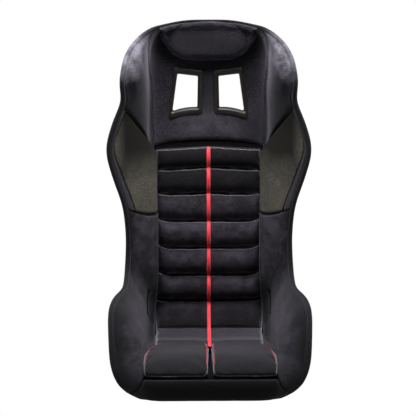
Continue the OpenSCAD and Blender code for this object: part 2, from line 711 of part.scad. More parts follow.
shell();
rim_trim();
lining();
front_lip_cover();
hip_bolster();  // hip_bolster_left
mirror([1, 0, 0]) hip_bolster();  // hip_bolster_right
waist_bolster();  // waist_bolster_left
mirror([1, 0, 0]) waist_bolster();  // waist_bolster_right
shoulder_panel();  // shoulder_panel_left
mirror([1, 0, 0]) shoulder_panel();  // shoulder_panel_right
shoulder_band();  // shoulder_band_left
mirror([1, 0, 0]) shoulder_band();  // shoulder_band_right
upper_back_cover();
head_wing_pad();  // head_wing_pad_left
mirror([1, 0, 0]) head_wing_pad();  // head_wing_pad_right
head_cushion();
back_cushion();
seat_cushion();
leg_cushion();  // leg_cushion_left
mirror([1, 0, 0]) leg_cushion();  // leg_cushion_right
back_stripe();
seat_stripe();
harness_surround();  // harness_surround_left
mirror([1, 0, 0]) harness_surround();  // harness_surround_right
harness_rear_frame();  // harness_rear_frame_left
mirror([1, 0, 0]) harness_rear_frame();  // harness_rear_frame_right
lap_slot_edging();  // lap_slot_edging_left
mirror([1, 0, 0]) lap_slot_edging();  // lap_slot_edging_right
crotch_slot_edging();
threaded_inserts();  // threaded_inserts_left
mirror([1, 0, 0]) threaded_inserts();  // threaded_inserts_right
hook_tape_strips();
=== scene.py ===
import math

import bmesh
import bpy
import numpy as np
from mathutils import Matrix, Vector


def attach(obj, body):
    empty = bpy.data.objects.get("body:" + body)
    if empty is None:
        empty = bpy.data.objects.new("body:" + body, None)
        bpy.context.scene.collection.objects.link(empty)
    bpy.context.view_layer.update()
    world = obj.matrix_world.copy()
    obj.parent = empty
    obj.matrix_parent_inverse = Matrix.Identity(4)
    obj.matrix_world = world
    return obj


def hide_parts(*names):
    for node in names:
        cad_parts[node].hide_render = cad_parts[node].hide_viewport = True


# Looks of a fixed-back racing seat. Every cover, pad and cushion is a layer over one
# lofted surface, as in the CAD: a place on it is (u, v), where u runs from the front
# lip (0) to the top edge (18) and v runs from the left rim (-1) to the right rim (1).
# Lengths are in metres.

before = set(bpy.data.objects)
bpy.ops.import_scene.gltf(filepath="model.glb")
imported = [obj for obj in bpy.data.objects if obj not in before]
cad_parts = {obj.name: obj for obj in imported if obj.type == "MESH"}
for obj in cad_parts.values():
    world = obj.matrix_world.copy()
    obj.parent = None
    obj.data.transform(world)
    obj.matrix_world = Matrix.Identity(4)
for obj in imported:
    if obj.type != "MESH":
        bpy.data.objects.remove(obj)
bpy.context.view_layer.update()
MM = 0.001

# ---- the lofted surface ----

SEAT_H = 906
HALF_SHOULDER = 282
HALF_HIP = 266
HALF_WAIST = 232
HALF_HEAD = 241
# Stations from the lip to the top edge, in millimetres: floor y, floor z, half-width of
# the floor, rim x, rim y, rim z, lean of the wall (a share), depth of the padding on the
# floor, depth on the walls, and the place v of the cushions' edge.
STATIONS = np.array([
    [-365, 28, 150, HALF_HIP - 80, -362, 31, 0.5, 8, 6, 0.50],
    [-380, 60, 175, HALF_HIP - 36, -362, 60, 0.4, 30, 12, 0.53],
    [-358, 92, 192, HALF_HIP - 10, -343, 110, 0.2, 44, 18, 0.53],
    [-280, 78, 203, HALF_HIP - 3, -302, 178, 0.0, 46, 22, 0.46],
    [-200, 50, 205, HALF_HIP, -240, 222, 0.0, 44, 24, 0.40],
    [-120, 24, 205, HALF_HIP - 8, -165, 224, 0.0, 38, 24, 0.37],
    [-40, 5, 205, HALF_HIP - 27, -70, 211, 0.0, 34, 24, 0.37],
    [48, 5, 204, HALF_WAIST + 4, 0, 230, 0.1, 36, 24, 0.385],
    [110, 55, 193, HALF_WAIST + 1, 22, 280, 0.3, 40, 26, 0.445],
    [130, 150, 170, HALF_WAIST, 32, 338, 0.3, 42, 24, 0.525],
    [156, 290, 160, HALF_WAIST + 8, 40, 421, 0.3, 40, 24, 0.575],
    [192, 430, 162, HALF_SHOULDER - 15, 46, 509, 0.3, 38, 24, 0.55],
    [226, 560, 168, HALF_SHOULDER, 52, 585, 0.3, 34, 24, 0.51],
    [248, 650, 172, HALF_SHOULDER - 21, 72, 661, 0.3, 12, 20, 0.51],
    [260, SEAT_H - 186, 172, HALF_HEAD - 3, 82, SEAT_H - 190, 0.3, 12, 20, 0.51],
    [266, SEAT_H - 121, 170, HALF_HEAD, 78, SEAT_H - 131, 0.3, 30, 26, 0.51],
    [266, SEAT_H - 61, 160, HALF_HEAD - 19, 135, SEAT_H - 61, 0.3, 30, 26, 0.51],
    [260, SEAT_H - 22, 130, HALF_HEAD - 74, 215, SEAT_H - 21, 0.4, 20, 16, 0.51],
    [252, SEAT_H - 3, 70, HALF_HEAD - 146, 248, SEAT_H - 7, 0.5, 8, 6, 0.51],
]) * ([MM] * 6 + [1] + [MM] * 2 + [1])
LAST = len(STATIONS) - 1
FLOOR_Y, FLOOR_Z, FLOOR_W, RIM_X, RIM_Y, RIM_Z, LEAN, PAD_FLOOR, PAD_WALL, CUSHION = range(10)
SHELL_T = 5 * MM
SHELL_FILLET = 55 * MM
PAD_FILLET = 38 * MM
RIM_PAD = 7 * MM
FILLET_SHARE = 0.6
STEP = 0.01

COVER_T = 10 * MM
LINING_T = 3 * MM
TAPE_T = 1.6 * MM
UNDER = 0.8 * MM
# Gaps between neighbouring covers, in u and in v
SEAM_U, SEAM_V = 0.02, 0.004
CUSHION_LOW = LINING_T + TAPE_T + 0.2 * MM
EDGE_V = 0.992

CHANNELS = [6.75, 8.45, 9.15, 9.72, 10.26, 10.80, 11.31, 11.82]
BACK_TOP, BACK_BOW = 11.76, 0.13
SEAT_REAR, SEAT_FRONT, LEG_FRONT, STRIPE_FRONT = 6.70, 5.30, 1.74, 4.0
LIP_END, LIP_RIM_END, LIP_BEND_V, WAIST_SEAM = 1.66, 0.60, 0.54, 8.35
PANEL_LOW, PANEL_LOW_V, PANEL_SLOPE = 10.41, 0.586, 1.31
PANEL_TOP, PANEL_RISE, PANEL_IN_V = 11.72, 1.90, 0.53
BAND_U, BAND_LOW_U, BAND_HIGH_U, BAND_V, BAND_IN, BAND_OUT = 12.2, 10, 13.4, 0.980, 0.042, 0.011
WING_TOP, WING_BEND, WING_OUT, WING_BULGE = 17.25, 14, 0.36, 9 * MM
HEAD_LOW, HEAD_BOW, HEAD_MIDDLE, HEAD_END = 15.07, 0.25, 16.4, 17.92
HEAD_THIN, HEAD_LAP = 7 * MM, 11 * MM
CORNER_U, CORNER_V = 0.16, 0.026
STRIPE_HALF = 5.6 * MM

# Shoulder belt slots: centres of the corner arcs of the left one, as (x, z)
SLOT = np.array([[-86.6, 743.6], [-100.8, 644.7], [-36.4, 654.5], [-34.6, 737.5]]) * MM
SLOT_R, SLOT_BOW, SLOT_X, SLOT_HALF_H = 4 * MM, 3 * MM, -66 * MM, 50 * MM
SURROUND_W, SURROUND_T, SURROUND_IN, SURROUND_TALL = 10 * MM, 4.2 * MM, 5 * MM, 8 * MM
SLOT_BACK_U = (13.0, 14.4)
# Lap belt slots, crotch strap slot and threaded inserts
LAP_Y, LAP_Z, LAP_TILT, LAP_L, LAP_W = 46 * MM, 112 * MM, math.radians(22), 74 * MM, 22 * MM
LAP_SLIT_W = 8 * MM
CROTCH_U, CROTCH_Y, CROTCH_L, CROTCH_W = 5.25, -102 * MM, 60 * MM, 20 * MM
EDGING_T = 1.6 * MM
MOUNT_X, MOUNT_Y, MOUNT_Z, MOUNT_PITCH = 214 * MM, -70 * MM, 90 * MM, 290 * MM
MOUNTS_Y = (MOUNT_Y - MOUNT_PITCH / 2, MOUNT_Y + MOUNT_PITCH / 2)
INSERT_D, TAP_D, INSERT_L = 16 * MM, 6.8 * MM, 18 * MM
CUT_GAP = 2 * MM


def run(u, col):
    """Smooth run through one column of the stations."""
    i = np.clip(np.floor(u).astype(int), 0, LAST - 1)
    t = u - i
    a, b, c, d = (STATIONS[np.clip(i + k, 0, LAST), col] for k in (-1, 0, 1, 2))
    return 0.5 * (2 * b + (c - a) * t + (2 * a - 5 * b + 4 * c - d) * t**2
                  + (3 * b - a - 3 * c + d) * t**3)


def floor_line(u):
    """(y, z) of the middle of the shell's inner face."""
    return np.stack([run(u, FLOOR_Y), np.maximum(SHELL_T, run(u, FLOOR_Z))], -1)


def bezier(a, b, c, t):
    return (1 - t) ** 2 * a + 2 * t * (1 - t) * b + t**2 * c


def section(v, w, rim_x, lean, fillet):
    """Half of a cross-section: (x, share of the way from the floor line to the rim)."""
    wall = w + lean * (rim_x - w)
    mid = (w + wall) / 2
    s = 3 * v
    flat, corner = (w - fillet) * s, np.clip(s - 1, 0, 1)
    side = np.clip(s - 2, 0, 1)
    x = np.where(s < 1, flat, np.where(s < 2, bezier(w - fillet, w, mid, corner),
                                       bezier(mid, wall, rim_x, side)))
    up = np.where(s < 1, 0, np.where(s < 2, bezier(0, 0, 0.25, corner),
                                     bezier(0.25, 0.5, 1, side)))
    return x, up


def unit(a):
    return a / np.maximum(np.linalg.norm(a, axis=-1, keepdims=True), 1e-12)


def skin(u, v):
    """Point on the shell's inner face."""
    w, base = run(u, FLOOR_W), floor_line(u)
    rim = np.stack([run(u, RIM_Y), run(u, RIM_Z)], -1)
    fillet = np.minimum(SHELL_FILLET, FILLET_SHARE * w)
    x, up = section(np.abs(v), w, run(u, RIM_X), run(u, LEAN), fillet)
    yz = base + (rim - base) * up[..., None]
    return np.concatenate([(np.sign(v) * x)[..., None], yz], -1)


def padded(u, v):
    """Point on the sitter's side of the padding."""
    w, base = run(u, FLOOR_W), floor_line(u)
    rim = np.stack([run(u, RIM_Y), run(u, RIM_Z)], -1)
    along = unit(floor_line(np.minimum(u + 2 * STEP, LAST)) - floor_line(np.maximum(u - 2 * STEP, 0)))
    up_floor = np.stack([-along[..., 1], along[..., 0]], -1)
    rim_x, lean = run(u, RIM_X), run(u, LEAN)
    rise = ((rim - base) * up_floor).sum(-1) / 2
    lean_in = unit(np.stack([rim_x - (w + lean * (rim_x - w)), rise], -1))
    pad_base = base + up_floor * run(u, PAD_FLOOR)[..., None]
    pad_rim = rim + up_floor * (RIM_PAD * lean_in[..., 0])[..., None]
    pad_w = w - run(u, PAD_WALL)
    fillet = np.minimum(PAD_FILLET, FILLET_SHARE * pad_w)
    x, up = section(np.abs(v), pad_w, rim_x - RIM_PAD * lean_in[..., 1], lean, fillet)
    yz = pad_base + (pad_rim - pad_base) * up[..., None]
    return np.concatenate([(np.sign(v) * x)[..., None], yz], -1)


def depth(u, v):
    return np.linalg.norm(padded(u, v) - skin(u, v), axis=-1)


def layer(u, v, d):
    """Point at a depth d over the shell."""
    a = skin(u, v)
    return a + unit(padded(u, v) - a) * np.asarray(d)[..., None]


def square_to(u_at, v):
    """Direction square to the shell, towards the sitter."""
    u = np.minimum(u_at, LAST - 0.6)
    du = skin(np.minimum(u + STEP, LAST), v) - skin(np.maximum(u - STEP, 0), v)
    dv = skin(u, np.minimum(1, v + STEP)) - skin(u, np.maximum(-1, v - STEP))
    return unit(np.cross(dv, du))


def lerp(a, b, t):
    return a + (b - a) * t


def eased(t):
    return (1 - np.cos(np.pi * t)) / 2


def smooth(x, lo, hi):
    t = np.clip((x - lo) / (hi - lo), 0, 1)
    return t * t * (3 - 2 * t)


def within(x, a, b, c, d):
    """1 between b and c, and 0 below a and above d."""
    return smooth(x, a, b) * smooth(-x, -d, -c)


def cushion_v(u):
    return run(u, CUSHION)


def bolster_v(u):
    return cushion_v(np.minimum(u, PANEL_TOP)) + 0.01


def panel_top_u(v):
    return PANEL_TOP + PANEL_RISE * np.maximum(0, (v - PANEL_IN_V) / (1 - PANEL_IN_V)) ** 1.7


def panel_low_u(v):
    return PANEL_LOW - PANEL_SLOPE * (v - PANEL_LOW_V)


def lip_u(v):
    share = (v - LIP_BEND_V) / (1 - LIP_BEND_V)
    return np.where(v < LIP_BEND_V, LIP_END, lerp(LIP_END, LIP_RIM_END, share))


def band_edge(u):
    below = BAND_IN * (np.maximum(0, BAND_U - u) / (BAND_U - BAND_LOW_U)) ** 1.5
    return BAND_V - below - BAND_OUT * np.maximum(0, u - BAND_U)


def crease_v(u):
    bend = np.maximum(0, u - WING_BEND) / (WING_TOP - WING_BEND)
    return PANEL_IN_V + 0.02 * (u - PANEL_TOP) + WING_OUT * bend ** 1.9


def floor_v(u, x):
    """Place v of a distance x from the middle, on the flat of the floor."""
    return x / (3 * (run(u, FLOOR_W) - SHELL_FILLET))


def u_at_z(z):
    """Place u on the floor of the back at a height z."""
    us = np.linspace(11, LAST, 1400)
    return np.interp(z, floor_line(us)[:, 1], us)


def noise(points, scale, seed=0.0, octaves=3):
    """Smooth repeatable noise from -1 to 1, as a sum of turned waves."""
    total = np.zeros(points.shape[:-1])
    rng = np.random.default_rng(int(seed * 10) + 7)
    for k in range(octaves * 6):
        direction = unit(rng.normal(size=3))
        wave = (1.7 ** (k // 6)) * 2 * np.pi / scale * rng.uniform(0.7, 1.3)
        total += np.sin(points @ direction * wave + rng.uniform(0, 6.283)) / (1.6 ** (k // 6))
    return total / (octaves * 2.2)


# ---- mesh helpers ----


def add_mesh(name, points, faces):
    mesh = bpy.data.meshes.new(name)
    mesh.from_pydata(np.asarray(points).tolist(), [], faces)
    mesh.validate()
    obj = bpy.data.objects.new(name, mesh)
    bpy.context.scene.collection.objects.link(obj)
    return obj


def shade(obj, angle=None):
    for polygon in obj.data.polygons:
        polygon.use_smooth = True
    if angle is not None:
        obj.data.set_sharp_from_angle(angle=math.radians(angle))
    return obj


def solid(name, points, faces):
    """Closed smooth piece whose faces all look outwards."""
    obj = add_mesh(name, points, faces)
    bm = bmesh.new()
    bm.from_mesh(obj.data)
    bmesh.ops.recalc_face_normals(bm, faces=bm.faces)
    bm.to_mesh(obj.data)
    bm.free()
    return shade(obj)


def subdivide(obj, levels=1):
    mod = obj.modifiers.new("subdivide", "SUBSURF")
    mod.levels = levels
    mod.render_levels = levels
    return obj


def grid_quads(rows, cols, first=0, flip=False):
    w = cols + 1
    quads = []
    for i in range(rows):
        for j in range(cols):
            a = first + i * w + j
            quad = (a, a + w, a + w + 1, a + 1)
            quads.append(quad[::-1] if flip else quad)
    return quads


def slab(name, top, low):
    """Closed piece between two grids of points, the first on the sitter's side."""
    rows, cols = top.shape[0] - 1, top.shape[1] - 1
    w, n = cols + 1, (rows + 1) * (cols + 1)
    faces = grid_quads(rows, cols) + grid_quads(rows, cols, n, flip=True)
    border = ([j for j in range(cols)] + [i * w + cols for i in range(rows)]
              + [rows * w + j for j in range(cols, 0, -1)] + [i * w for i in range(rows, 0, -1)])
    for k, a in enumerate(border):
        b = border[(k + 1) % len(border)]
        faces.append((a, b, b + n, a + n))
    return solid(name, np.concatenate([top.reshape(-1, 3), low.reshape(-1, 3)]), faces)


def ring(name, loops, closed=True):
    """Ring through loops of points, an array of loops x points x 3, or a strip with its
    ends closed."""
    n, m = loops.shape[:2]
    faces = []
    for i in range(n if closed else n - 1):
        a, b = i * m, (i + 1) % n * m
        faces += [(a + j, b + j, b + (j + 1) % m, a + (j + 1) % m) for j in range(m)]
    if not closed:
        faces += [tuple(range(m)), tuple(range((n - 1) * m, n * m))[::-1]]
    return solid(name, loops.reshape(-1, 3), faces)


def sweep(points, normals, profile, closed=False, wide=1, high=1):
    """Loops of a profile, (sideways, along the normal), swept along points. The shares
    wide and high scale it from point to point."""
    ahead = np.roll(points, -1, 0) if closed else np.concatenate([points[1:], points[-1:]])
    behind = np.roll(points, 1, 0) if closed else np.concatenate([points[:1], points[:-1]])
    side = unit(np.cross(unit(ahead - behind), normals))
    lift = unit(normals)
    return (points[:, None] + side[:, None] * profile[None, :, :1] * wide
            + lift[:, None] * profile[None, :, 1:] * high)


def tube(name, points, normals, profile, closed=False, wide=1):
    """A strip of one profile along a path."""
    return ring(name, sweep(points, normals, profile, closed, wide), closed)


def softened(values, width=3):
    """Running mean round a closed path."""
    total = sum(np.roll(values, k, 0) for k in range(-width, width + 1))
    return total / (2 * width + 1)


def lengths(points):
    """Distance of each point from the first, along the path."""
    return np.concatenate([[0], np.linalg.norm(np.diff(points, axis=0), axis=1).cumsum()])


def circle(r_side, r_up, n):
    a = np.linspace(0, 2 * np.pi, n, endpoint=False)
    return np.stack([r_side * np.cos(a), r_up * np.sin(a)], -1)


def cut(obj, *cutters):
    """Cuts the cutters out of a piece and removes them."""
    for cutter in cutters:
        mod = obj.modifiers.new("cut", "BOOLEAN")
        mod.operation = "DIFFERENCE"
        mod.solver = "EXACT"
        mod.object = cutter
    mesh = bpy.data.meshes.new_from_object(obj.evaluated_get(bpy.context.evaluated_depsgraph_get()))
    obj.modifiers.clear()
    obj.data = mesh
    for cutter in cutters:
        bpy.data.objects.remove(cutter)
    return obj


def prism(name, outline, start, end):
    """Closed prism: outline is n points, and start and end are shifts of it."""
    n = len(outline)
    points = np.concatenate([outline + start, outline + end])
    faces = [(i, (i + 1) % n, n + (i + 1) % n, n + i) for i in range(n)]
    faces += [tuple(range(n))[::-1], tuple(range(n, 2 * n))]
    return solid(name, points, faces)


def rounded_outline(centres, r, arc=10):
    """Convex outline with arcs of radius r about the centres, as (x, y)."""
    n, out = len(centres), []
    for i in range(n):
        a, b, d = centres[i - 1], centres[i], centres[(i + 1) % n]
        start = math.atan2(b[1] - a[1], b[0] - a[0]) - math.pi / 2
        turn = (math.atan2(d[1] - b[1], d[0] - b[0]) - math.pi / 2 - start) % (2 * math.pi)
        for k in range(arc):
            at = start + turn * k / (arc - 1)
            out.append([b[0] + r * math.cos(at), b[1] + r * math.sin(at)])
    return np.array(out)


def moved_out(centres, by):
    """Corners of a polygon whose edges are all moved outwards by a distance."""
    ahead = unit(np.roll(centres, -1, 0) - centres)
    out = np.stack([ahead[:, 1], -ahead[:, 0]], -1)
    before = np.roll(out, 1, 0)
    return centres + by * (out + before) / (1 + (out * before).sum(-1, keepdims=True))


def slot_outline(grow, arc=8, bow_steps=12):
    """Outline of the left shoulder belt slot, whose lower edge bows upwards."""
    square = 0.65 * grow
    p = rounded_outline(moved_out(SLOT, square), SLOT_R + grow - square, arc)
    k = np.arange(1, bow_steps)[:, None] / bow_steps
    low = lerp(p[2 * arc - 1], p[2 * arc], k) + np.array([0, SLOT_BOW]) * 4 * k * (1 - k)
    return np.concatenate([p[:2 * arc], low, p[2 * arc:]])


def surround_outline(grow):
    """The same for the face of the surround, which is wider on three sides."""
    p = slot_outline(grow)
    wide = max(0, grow - SURROUND_T) / (SURROUND_W - SURROUND_T)
    mid_z = floor_line(np.array(13.7))[1]
    more = np.stack([SURROUND_IN * smooth(p[:, 0], SLOT_X - 0.02, SLOT_X + 0.02),
                     SURROUND_TALL * (p[:, 1] - mid_z) / SLOT_HALF_H], -1)
    return p + wide * more


def stadium(length, width, grow):
    x = length / 2 - width / 2
    corners = [[x, 0.5 * MM], [-x, 0.5 * MM], [-x, -0.5 * MM], [x, -0.5 * MM]]
    return rounded_outline(corners, width / 2 - 0.5 * MM + grow)


def grid_normals(grid):
    return unit(np.cross(np.gradient(grid, axis=1), np.gradient(grid, axis=0)))


# ---- padding ----


def patch(rows, cols, at, side=1):
    """Grid of places on the surface: at(s, t) gives (u, v), and side -1 mirrors it."""
    s, t = np.meshgrid(np.linspace(0, 1, rows + 1), np.linspace(0, 1, cols + 1), indexing="ij")
    u, v = at(s, t)
    u, v = np.broadcast_to(u, s.shape), side * np.broadcast_to(v, s.shape)
    return s, t, u, v


def edge_distances(points):
    """Distance of every grid point from the four edges of its patch, along the surface."""
    down = np.linalg.norm(np.diff(points, axis=0), axis=2).cumsum(axis=0)
    down = np.concatenate([np.zeros((1, points.shape[1])), down])
    across = np.linalg.norm(np.diff(points, axis=1), axis=2).cumsum(axis=1)
    across = np.concatenate([np.zeros((points.shape[0], 1)), across], axis=1)
    return down, down[-1:] - down, across, across[:, -1:] - across


def rolled(distance, radius, low):
    """Rounding of one edge: rises from low at the edge to 1 at the radius."""
    t = np.clip(distance / radius, 0, 1)
    return low + (1 - low) * np.sqrt(1 - (1 - t) ** 2)


RIPPLE_REACH, RIPPLE_FINE, RIPPLE_BROAD = 18 * MM, 35 * MM, 110 * MM
THINNEST = UNDER + 0.6 * MM


def cover(name, rows, cols, at, side=1, full=depth, roll=(0, 0, 0, 0), low=(0, 0, 0, 0),
          fullness=1.0, ripple=0.0, seed=1):
    """Padded cover over a patch, with rolled edges and a faint ripple along its seams. For
    the first and last row and the first and last column, roll has the radii and low the
    share of the depth at the edge. Radii and ripple are in millimetres."""
    s, t, u, v = patch(rows, cols, at, side)
    d = full(u, v) * fullness
    edges = edge_distances(layer(u, v, d))
    for distance, radius, share in zip(edges, roll, low):
        if radius:
            d = d * rolled(distance, radius * MM, share)
    near = np.exp(-np.minimum.reduce(edges) / RIPPLE_REACH)
    points = skin(u, v)
    fine, broad = noise(points, RIPPLE_FINE, seed), noise(points, RIPPLE_BROAD, seed + 1)
    d = np.maximum(d + ripple * MM * (fine * near + 0.5 * broad), THINNEST)
    return slab(name, layer(u, v, d), layer(u, v, UNDER))


STIFFNESS, PRESSURE, FRAMES = 12, 3, 20


def swell(obj, held, cap, slack):
    """Cloth simulation of a filled cover: held points stay, the rest fills out, and no
    point moves further than cap. The result is written into the mesh."""
    scene = bpy.context.scene
    rest = np.array([p.co for p in obj.data.vertices])
    group = obj.vertex_groups.new(name="held")
    group.add([int(i) for i in held], 1.0, "REPLACE")
    mod = obj.modifiers.new("Cloth", "CLOTH")
    settings = mod.settings
    settings.quality = 6
    settings.mass = 0.25
    settings.tension_stiffness = STIFFNESS
    settings.compression_stiffness = STIFFNESS
    settings.shear_stiffness = STIFFNESS / 3
    settings.bending_stiffness = 0.05
    settings.use_pressure = True
    settings.uniform_pressure_force = PRESSURE
    settings.vertex_group_mass = "held"
    settings.shrink_min = -slack
    settings.effector_weights.gravity = 0
    mod.collision_settings.use_collision = False
    mod.point_cache.frame_start = 1
    mod.point_cache.frame_end = FRAMES
    for f in range(1, FRAMES + 1):
        scene.frame_set(f)
    evaluated = obj.evaluated_get(bpy.context.evaluated_depsgraph_get())
    moved = np.array([p.co for p in evaluated.data.vertices]) - rest
    length = np.linalg.norm(moved, axis=1, keepdims=True)
    soft_cap = cap * np.tanh(length / cap)
    moved = moved * soft_cap / np.maximum(length, 1e-9)
    obj.modifiers.remove(mod)
    obj.vertex_groups.clear()
    obj.data.vertices.foreach_set("co", (rest + moved).ravel())
    obj.data.update()
    scene.frame_set(1)
    return obj


# ---- materials ----


def srgb(r, g, b):
    """Linear colour of an 8-bit display colour."""
    out = [((c / 255 + 0.055) / 1.055) ** 2.4 if c > 10 else c / 255 / 12.92 for c in (r, g, b)]
    return (*out, 1.0)


def shaded(colour, share, more=0.0):
    return (*(c * share + more for c in colour[:3]), 1.0)


class Nodes:
    """Short way to write a material's nodes."""

    def __init__(self, name):
        self.material = bpy.data.materials.new(name)
        self.material.use_nodes = True
        self.tree = self.material.node_tree
        self.bsdf = self.tree.nodes["Principled BSDF"]
        self.place = self.tree.nodes.new("ShaderNodeTexCoord").outputs["Object"]

    def put(self, socket, value):
        """Links a socket to another one, or sets it to a value."""
        if hasattr(value, "links"):
            self.tree.links.new(value, socket)
        else:
            socket.default_value = value

    def add(self, kind, **values):
        node = self.tree.nodes.new("ShaderNode" + kind)
        for key, value in values.items():
            if hasattr(node, key):
                setattr(node, key, value)
            else:
                self.put(node.inputs[key.replace("_", " ")], value)
        return node

    def set(self, **values):
        for key, value in values.items():
            self.put(self.bsdf.inputs[key.replace("_", " ")], value)

    def axes(self):
        """X, Y and Z of the place on the object."""
        return self.add("SeparateXYZ", Vector=self.place).outputs

    def noise(self, scale, detail=3.0, rough=0.55):
        node = self.add("TexNoise", Vector=self.place, Scale=scale, Detail=detail, Roughness=rough)
        return node.outputs["Fac"]

    def mix(self, fac, a, b):
        node = self.add("Mix", data_type="RGBA")
        for value, k in ((fac, 0), (a, 6), (b, 7)):
            self.put(node.inputs[k], value)
        return node.outputs[2]

    def math(self, operation, a, b=0.0):
        node = self.add("Math", operation=operation)
        for k, value in enumerate((a, b)):
            self.put(node.inputs[k], value)
        return node.outputs[0]

    def ramp(self, fac, lo, hi, out_lo=0.0, out_hi=1.0):
        node = self.add("MapRange", clamp=True)
        for k, value in enumerate((fac, lo, hi, out_lo, out_hi)):
            self.put(node.inputs[k], value)
        return node.outputs[0]

    def band(self, value, a, b, c, d):
        """1 between b and c, and 0 below a and above d."""
        return self.math("MULTIPLY", self.ramp(value, a, b), self.ramp(value, c, d, 1.0, 0.0))

    def bump(self, height, distance, strength=1.0, under=None):
        node = self.add("Bump", Strength=strength, Distance=distance, Height=height)
        if under is not None:
            self.put(node.inputs["Normal"], under)
        return node.outputs["Normal"]

    def weave(self, pitch, turn=0.0):
        """Height of a plain weave of that pitch in metres, over X and Z."""
        turned = self.add("VectorRotate", rotation_type="Y_AXIS", Angle=turn, Vector=self.place)
        x, y, z = self.add("SeparateXYZ", Vector=turned.outputs[0]).outputs
        k = 2 * math.pi / pitch
        across = self.math("SINE", self.math("MULTIPLY", x, k))
        deep = self.math("ADD", z, self.math("MULTIPLY", y, 0.7))
        along = self.math("SINE", self.math("MULTIPLY", deep, k))
        return self.math("MULTIPLY", across, along)


def velour(name, dark, light, sheen, rough=0.5, painted_sheen=None):
    """Short-pile velour: dark ground, brushed patches, fine pile and a grazing sheen. Where a painted sheen
    is given, as a colour and two bands, the ground turns to that colour there: a painted sheen highlight."""
    n = Nodes(name)
    brushed = n.ramp(n.noise(9.0, 4.0), 0.35, 0.68)
    pile = n.noise(1500.0, 2.0, 0.7)
    mottled = n.noise(210.0, 3.0, 0.75)
    ground = n.mix(brushed, dark, light)
    ground = n.mix(n.ramp(mottled, 0.40, 0.60, 0.0, 0.85), ground, shaded(dark, 0.35))
    # Painted sheen: a lighter ground in a band of |x| and a band of z, broken up by noise.
    if painted_sheen:
        colour, across, up = painted_sheen
        x, _, z = n.axes()
        wander = n.math("MULTIPLY", n.math("SUBTRACT", n.noise(20.0, 5.0, 0.65), 0.5), 0.10)
        x = n.math("ADD", n.math("ABSOLUTE", x), wander)
        z = n.math("ADD", z, wander)
        painted_sheen_mask = n.math("MULTIPLY", n.band(x, *across), n.band(z, *up))
        painted_sheen_mask = n.math("MULTIPLY", painted_sheen_mask, n.ramp(mottled, 0.36, 0.64, 1.0, 0.6))
        painted_sheen_mask = n.math("MULTIPLY", painted_sheen_mask, n.ramp(n.noise(26.0, 4.0, 0.6), 0.38, 0.62, 0.3, 1.0))
        ground = n.mix(painted_sheen_mask, ground, colour)
    n.set(Base_Color=n.mix(n.ramp(pile, 0.3, 0.75, 0.0, 0.55), ground, shaded(dark, 0.45)),
          Roughness=n.ramp(brushed, 0, 1, 0.88, 0.97),
          Normal=n.bump(pile, 0.0006, 0.5, n.bump(mottled, 0.0022, 0.6)))
    n.set(Sheen_Weight=sheen, Sheen_Roughness=rough, Sheen_Tint=(0.86, 0.83, 0.95, 1))
    n.set(Specular_IOR_Level=0.15)
    return n.material


def grip_mesh():
    """Coarse grip fabric: an open honeycomb-like weave, greyer than the velour, and paler
    at its lower end and along its outer edge."""
    n = Nodes("grip_fabric")
    cells = n.add("TexVoronoi", feature="DISTANCE_TO_EDGE", Vector=n.place, Scale=340.0)
    web = n.ramp(cells.outputs["Distance"], 0.02, 0.22)
    patchy = n.ramp(n.noise(14.0, 3.0), 0.3, 0.7)
    x, _, z = n.axes()
    worn = n.math("ADD", z, n.math("MULTIPLY", n.noise(14.0, 4.0), 0.06))
    faded = n.math("MAXIMUM", n.ramp(worn, 0.50, 0.59, 1.0, 0.0),
                   n.ramp(n.math("ABSOLUTE", x), 0.235, 0.262))
    colour = n.mix(web, n.mix(faded, srgb(24, 23, 20), srgb(100, 97, 87)), srgb(8, 8, 7))
    n.set(Base_Color=n.mix(n.math("MULTIPLY", patchy, 0.3), colour, srgb(32, 31, 28)),
          Roughness=0.72, Normal=n.bump(web, 0.0006, 0.9))
    n.set(Sheen_Weight=0.03, Sheen_Roughness=0.5, Specular_IOR_Level=0.1)
    return n.material


def moulded(name, colour, rough, grain=900.0, spread=0.12, coat=0.0):
    """Moulded plastic, rubber or gelcoat with a fine grain and worn, dusty patches."""
    n = Nodes(name)
    worn = n.ramp(n.noise(22.0, 5.0), 0.42, 0.7)
    n.set(Base_Color=n.mix(n.math("MULTIPLY", worn, 0.5), colour, shaded(colour, 1.5, 0.004)),
          Roughness=n.ramp(worn, 0, 1, rough, min(1.0, rough + spread)),
          Normal=n.bump(n.noise(grain, 2.0), 0.00025, 0.4))
    n.set(Coat_Weight=coat, Coat_Roughness=0.08)
    return n.material


def thread(name, colour):
    """Twisted sewing thread."""
    n = Nodes(name)
    twist = n.noise(2600.0, 1.0)
    n.set(Base_Color=n.mix(n.ramp(twist, 0.3, 0.7), colour, shaded(colour, 0.5)),
          Roughness=0.55, Normal=n.bump(twist, 0.0003, 0.6))
    return n.material


def tape_fabric():
    """Red woven tape: fine ribs across it."""
    n = Nodes("stripe_tape")
    rib = n.weave(0.0011, math.radians(45))
    blotch = n.ramp(n.noise(60.0, 3.0), 0.3, 0.7)
    n.set(Base_Color=n.mix(n.ramp(rib, -1, 1, 0.0, 0.5), n.mix(blotch, srgb(250, 30, 48), srgb(255, 66, 80)),
                           srgb(190, 18, 32)),
          Roughness=0.6, Normal=n.bump(rib, 0.0003, 0.5))
    n.set(Sheen_Weight=0.2, Sheen_Roughness=0.4)
    return n.material


def steel():
    n = Nodes("zinc_steel")
    n.set(Base_Color=n.mix(n.noise(70.0, 3.0), srgb(170, 172, 176), srgb(205, 206, 208)), Metallic=1.0,
          Roughness=n.ramp(n.noise(300.0, 2.0), 0.3, 0.7, 0.25, 0.42),
          Normal=n.bump(n.noise(1500.0, 2.0), 0.0001, 0.3))
    return n.material
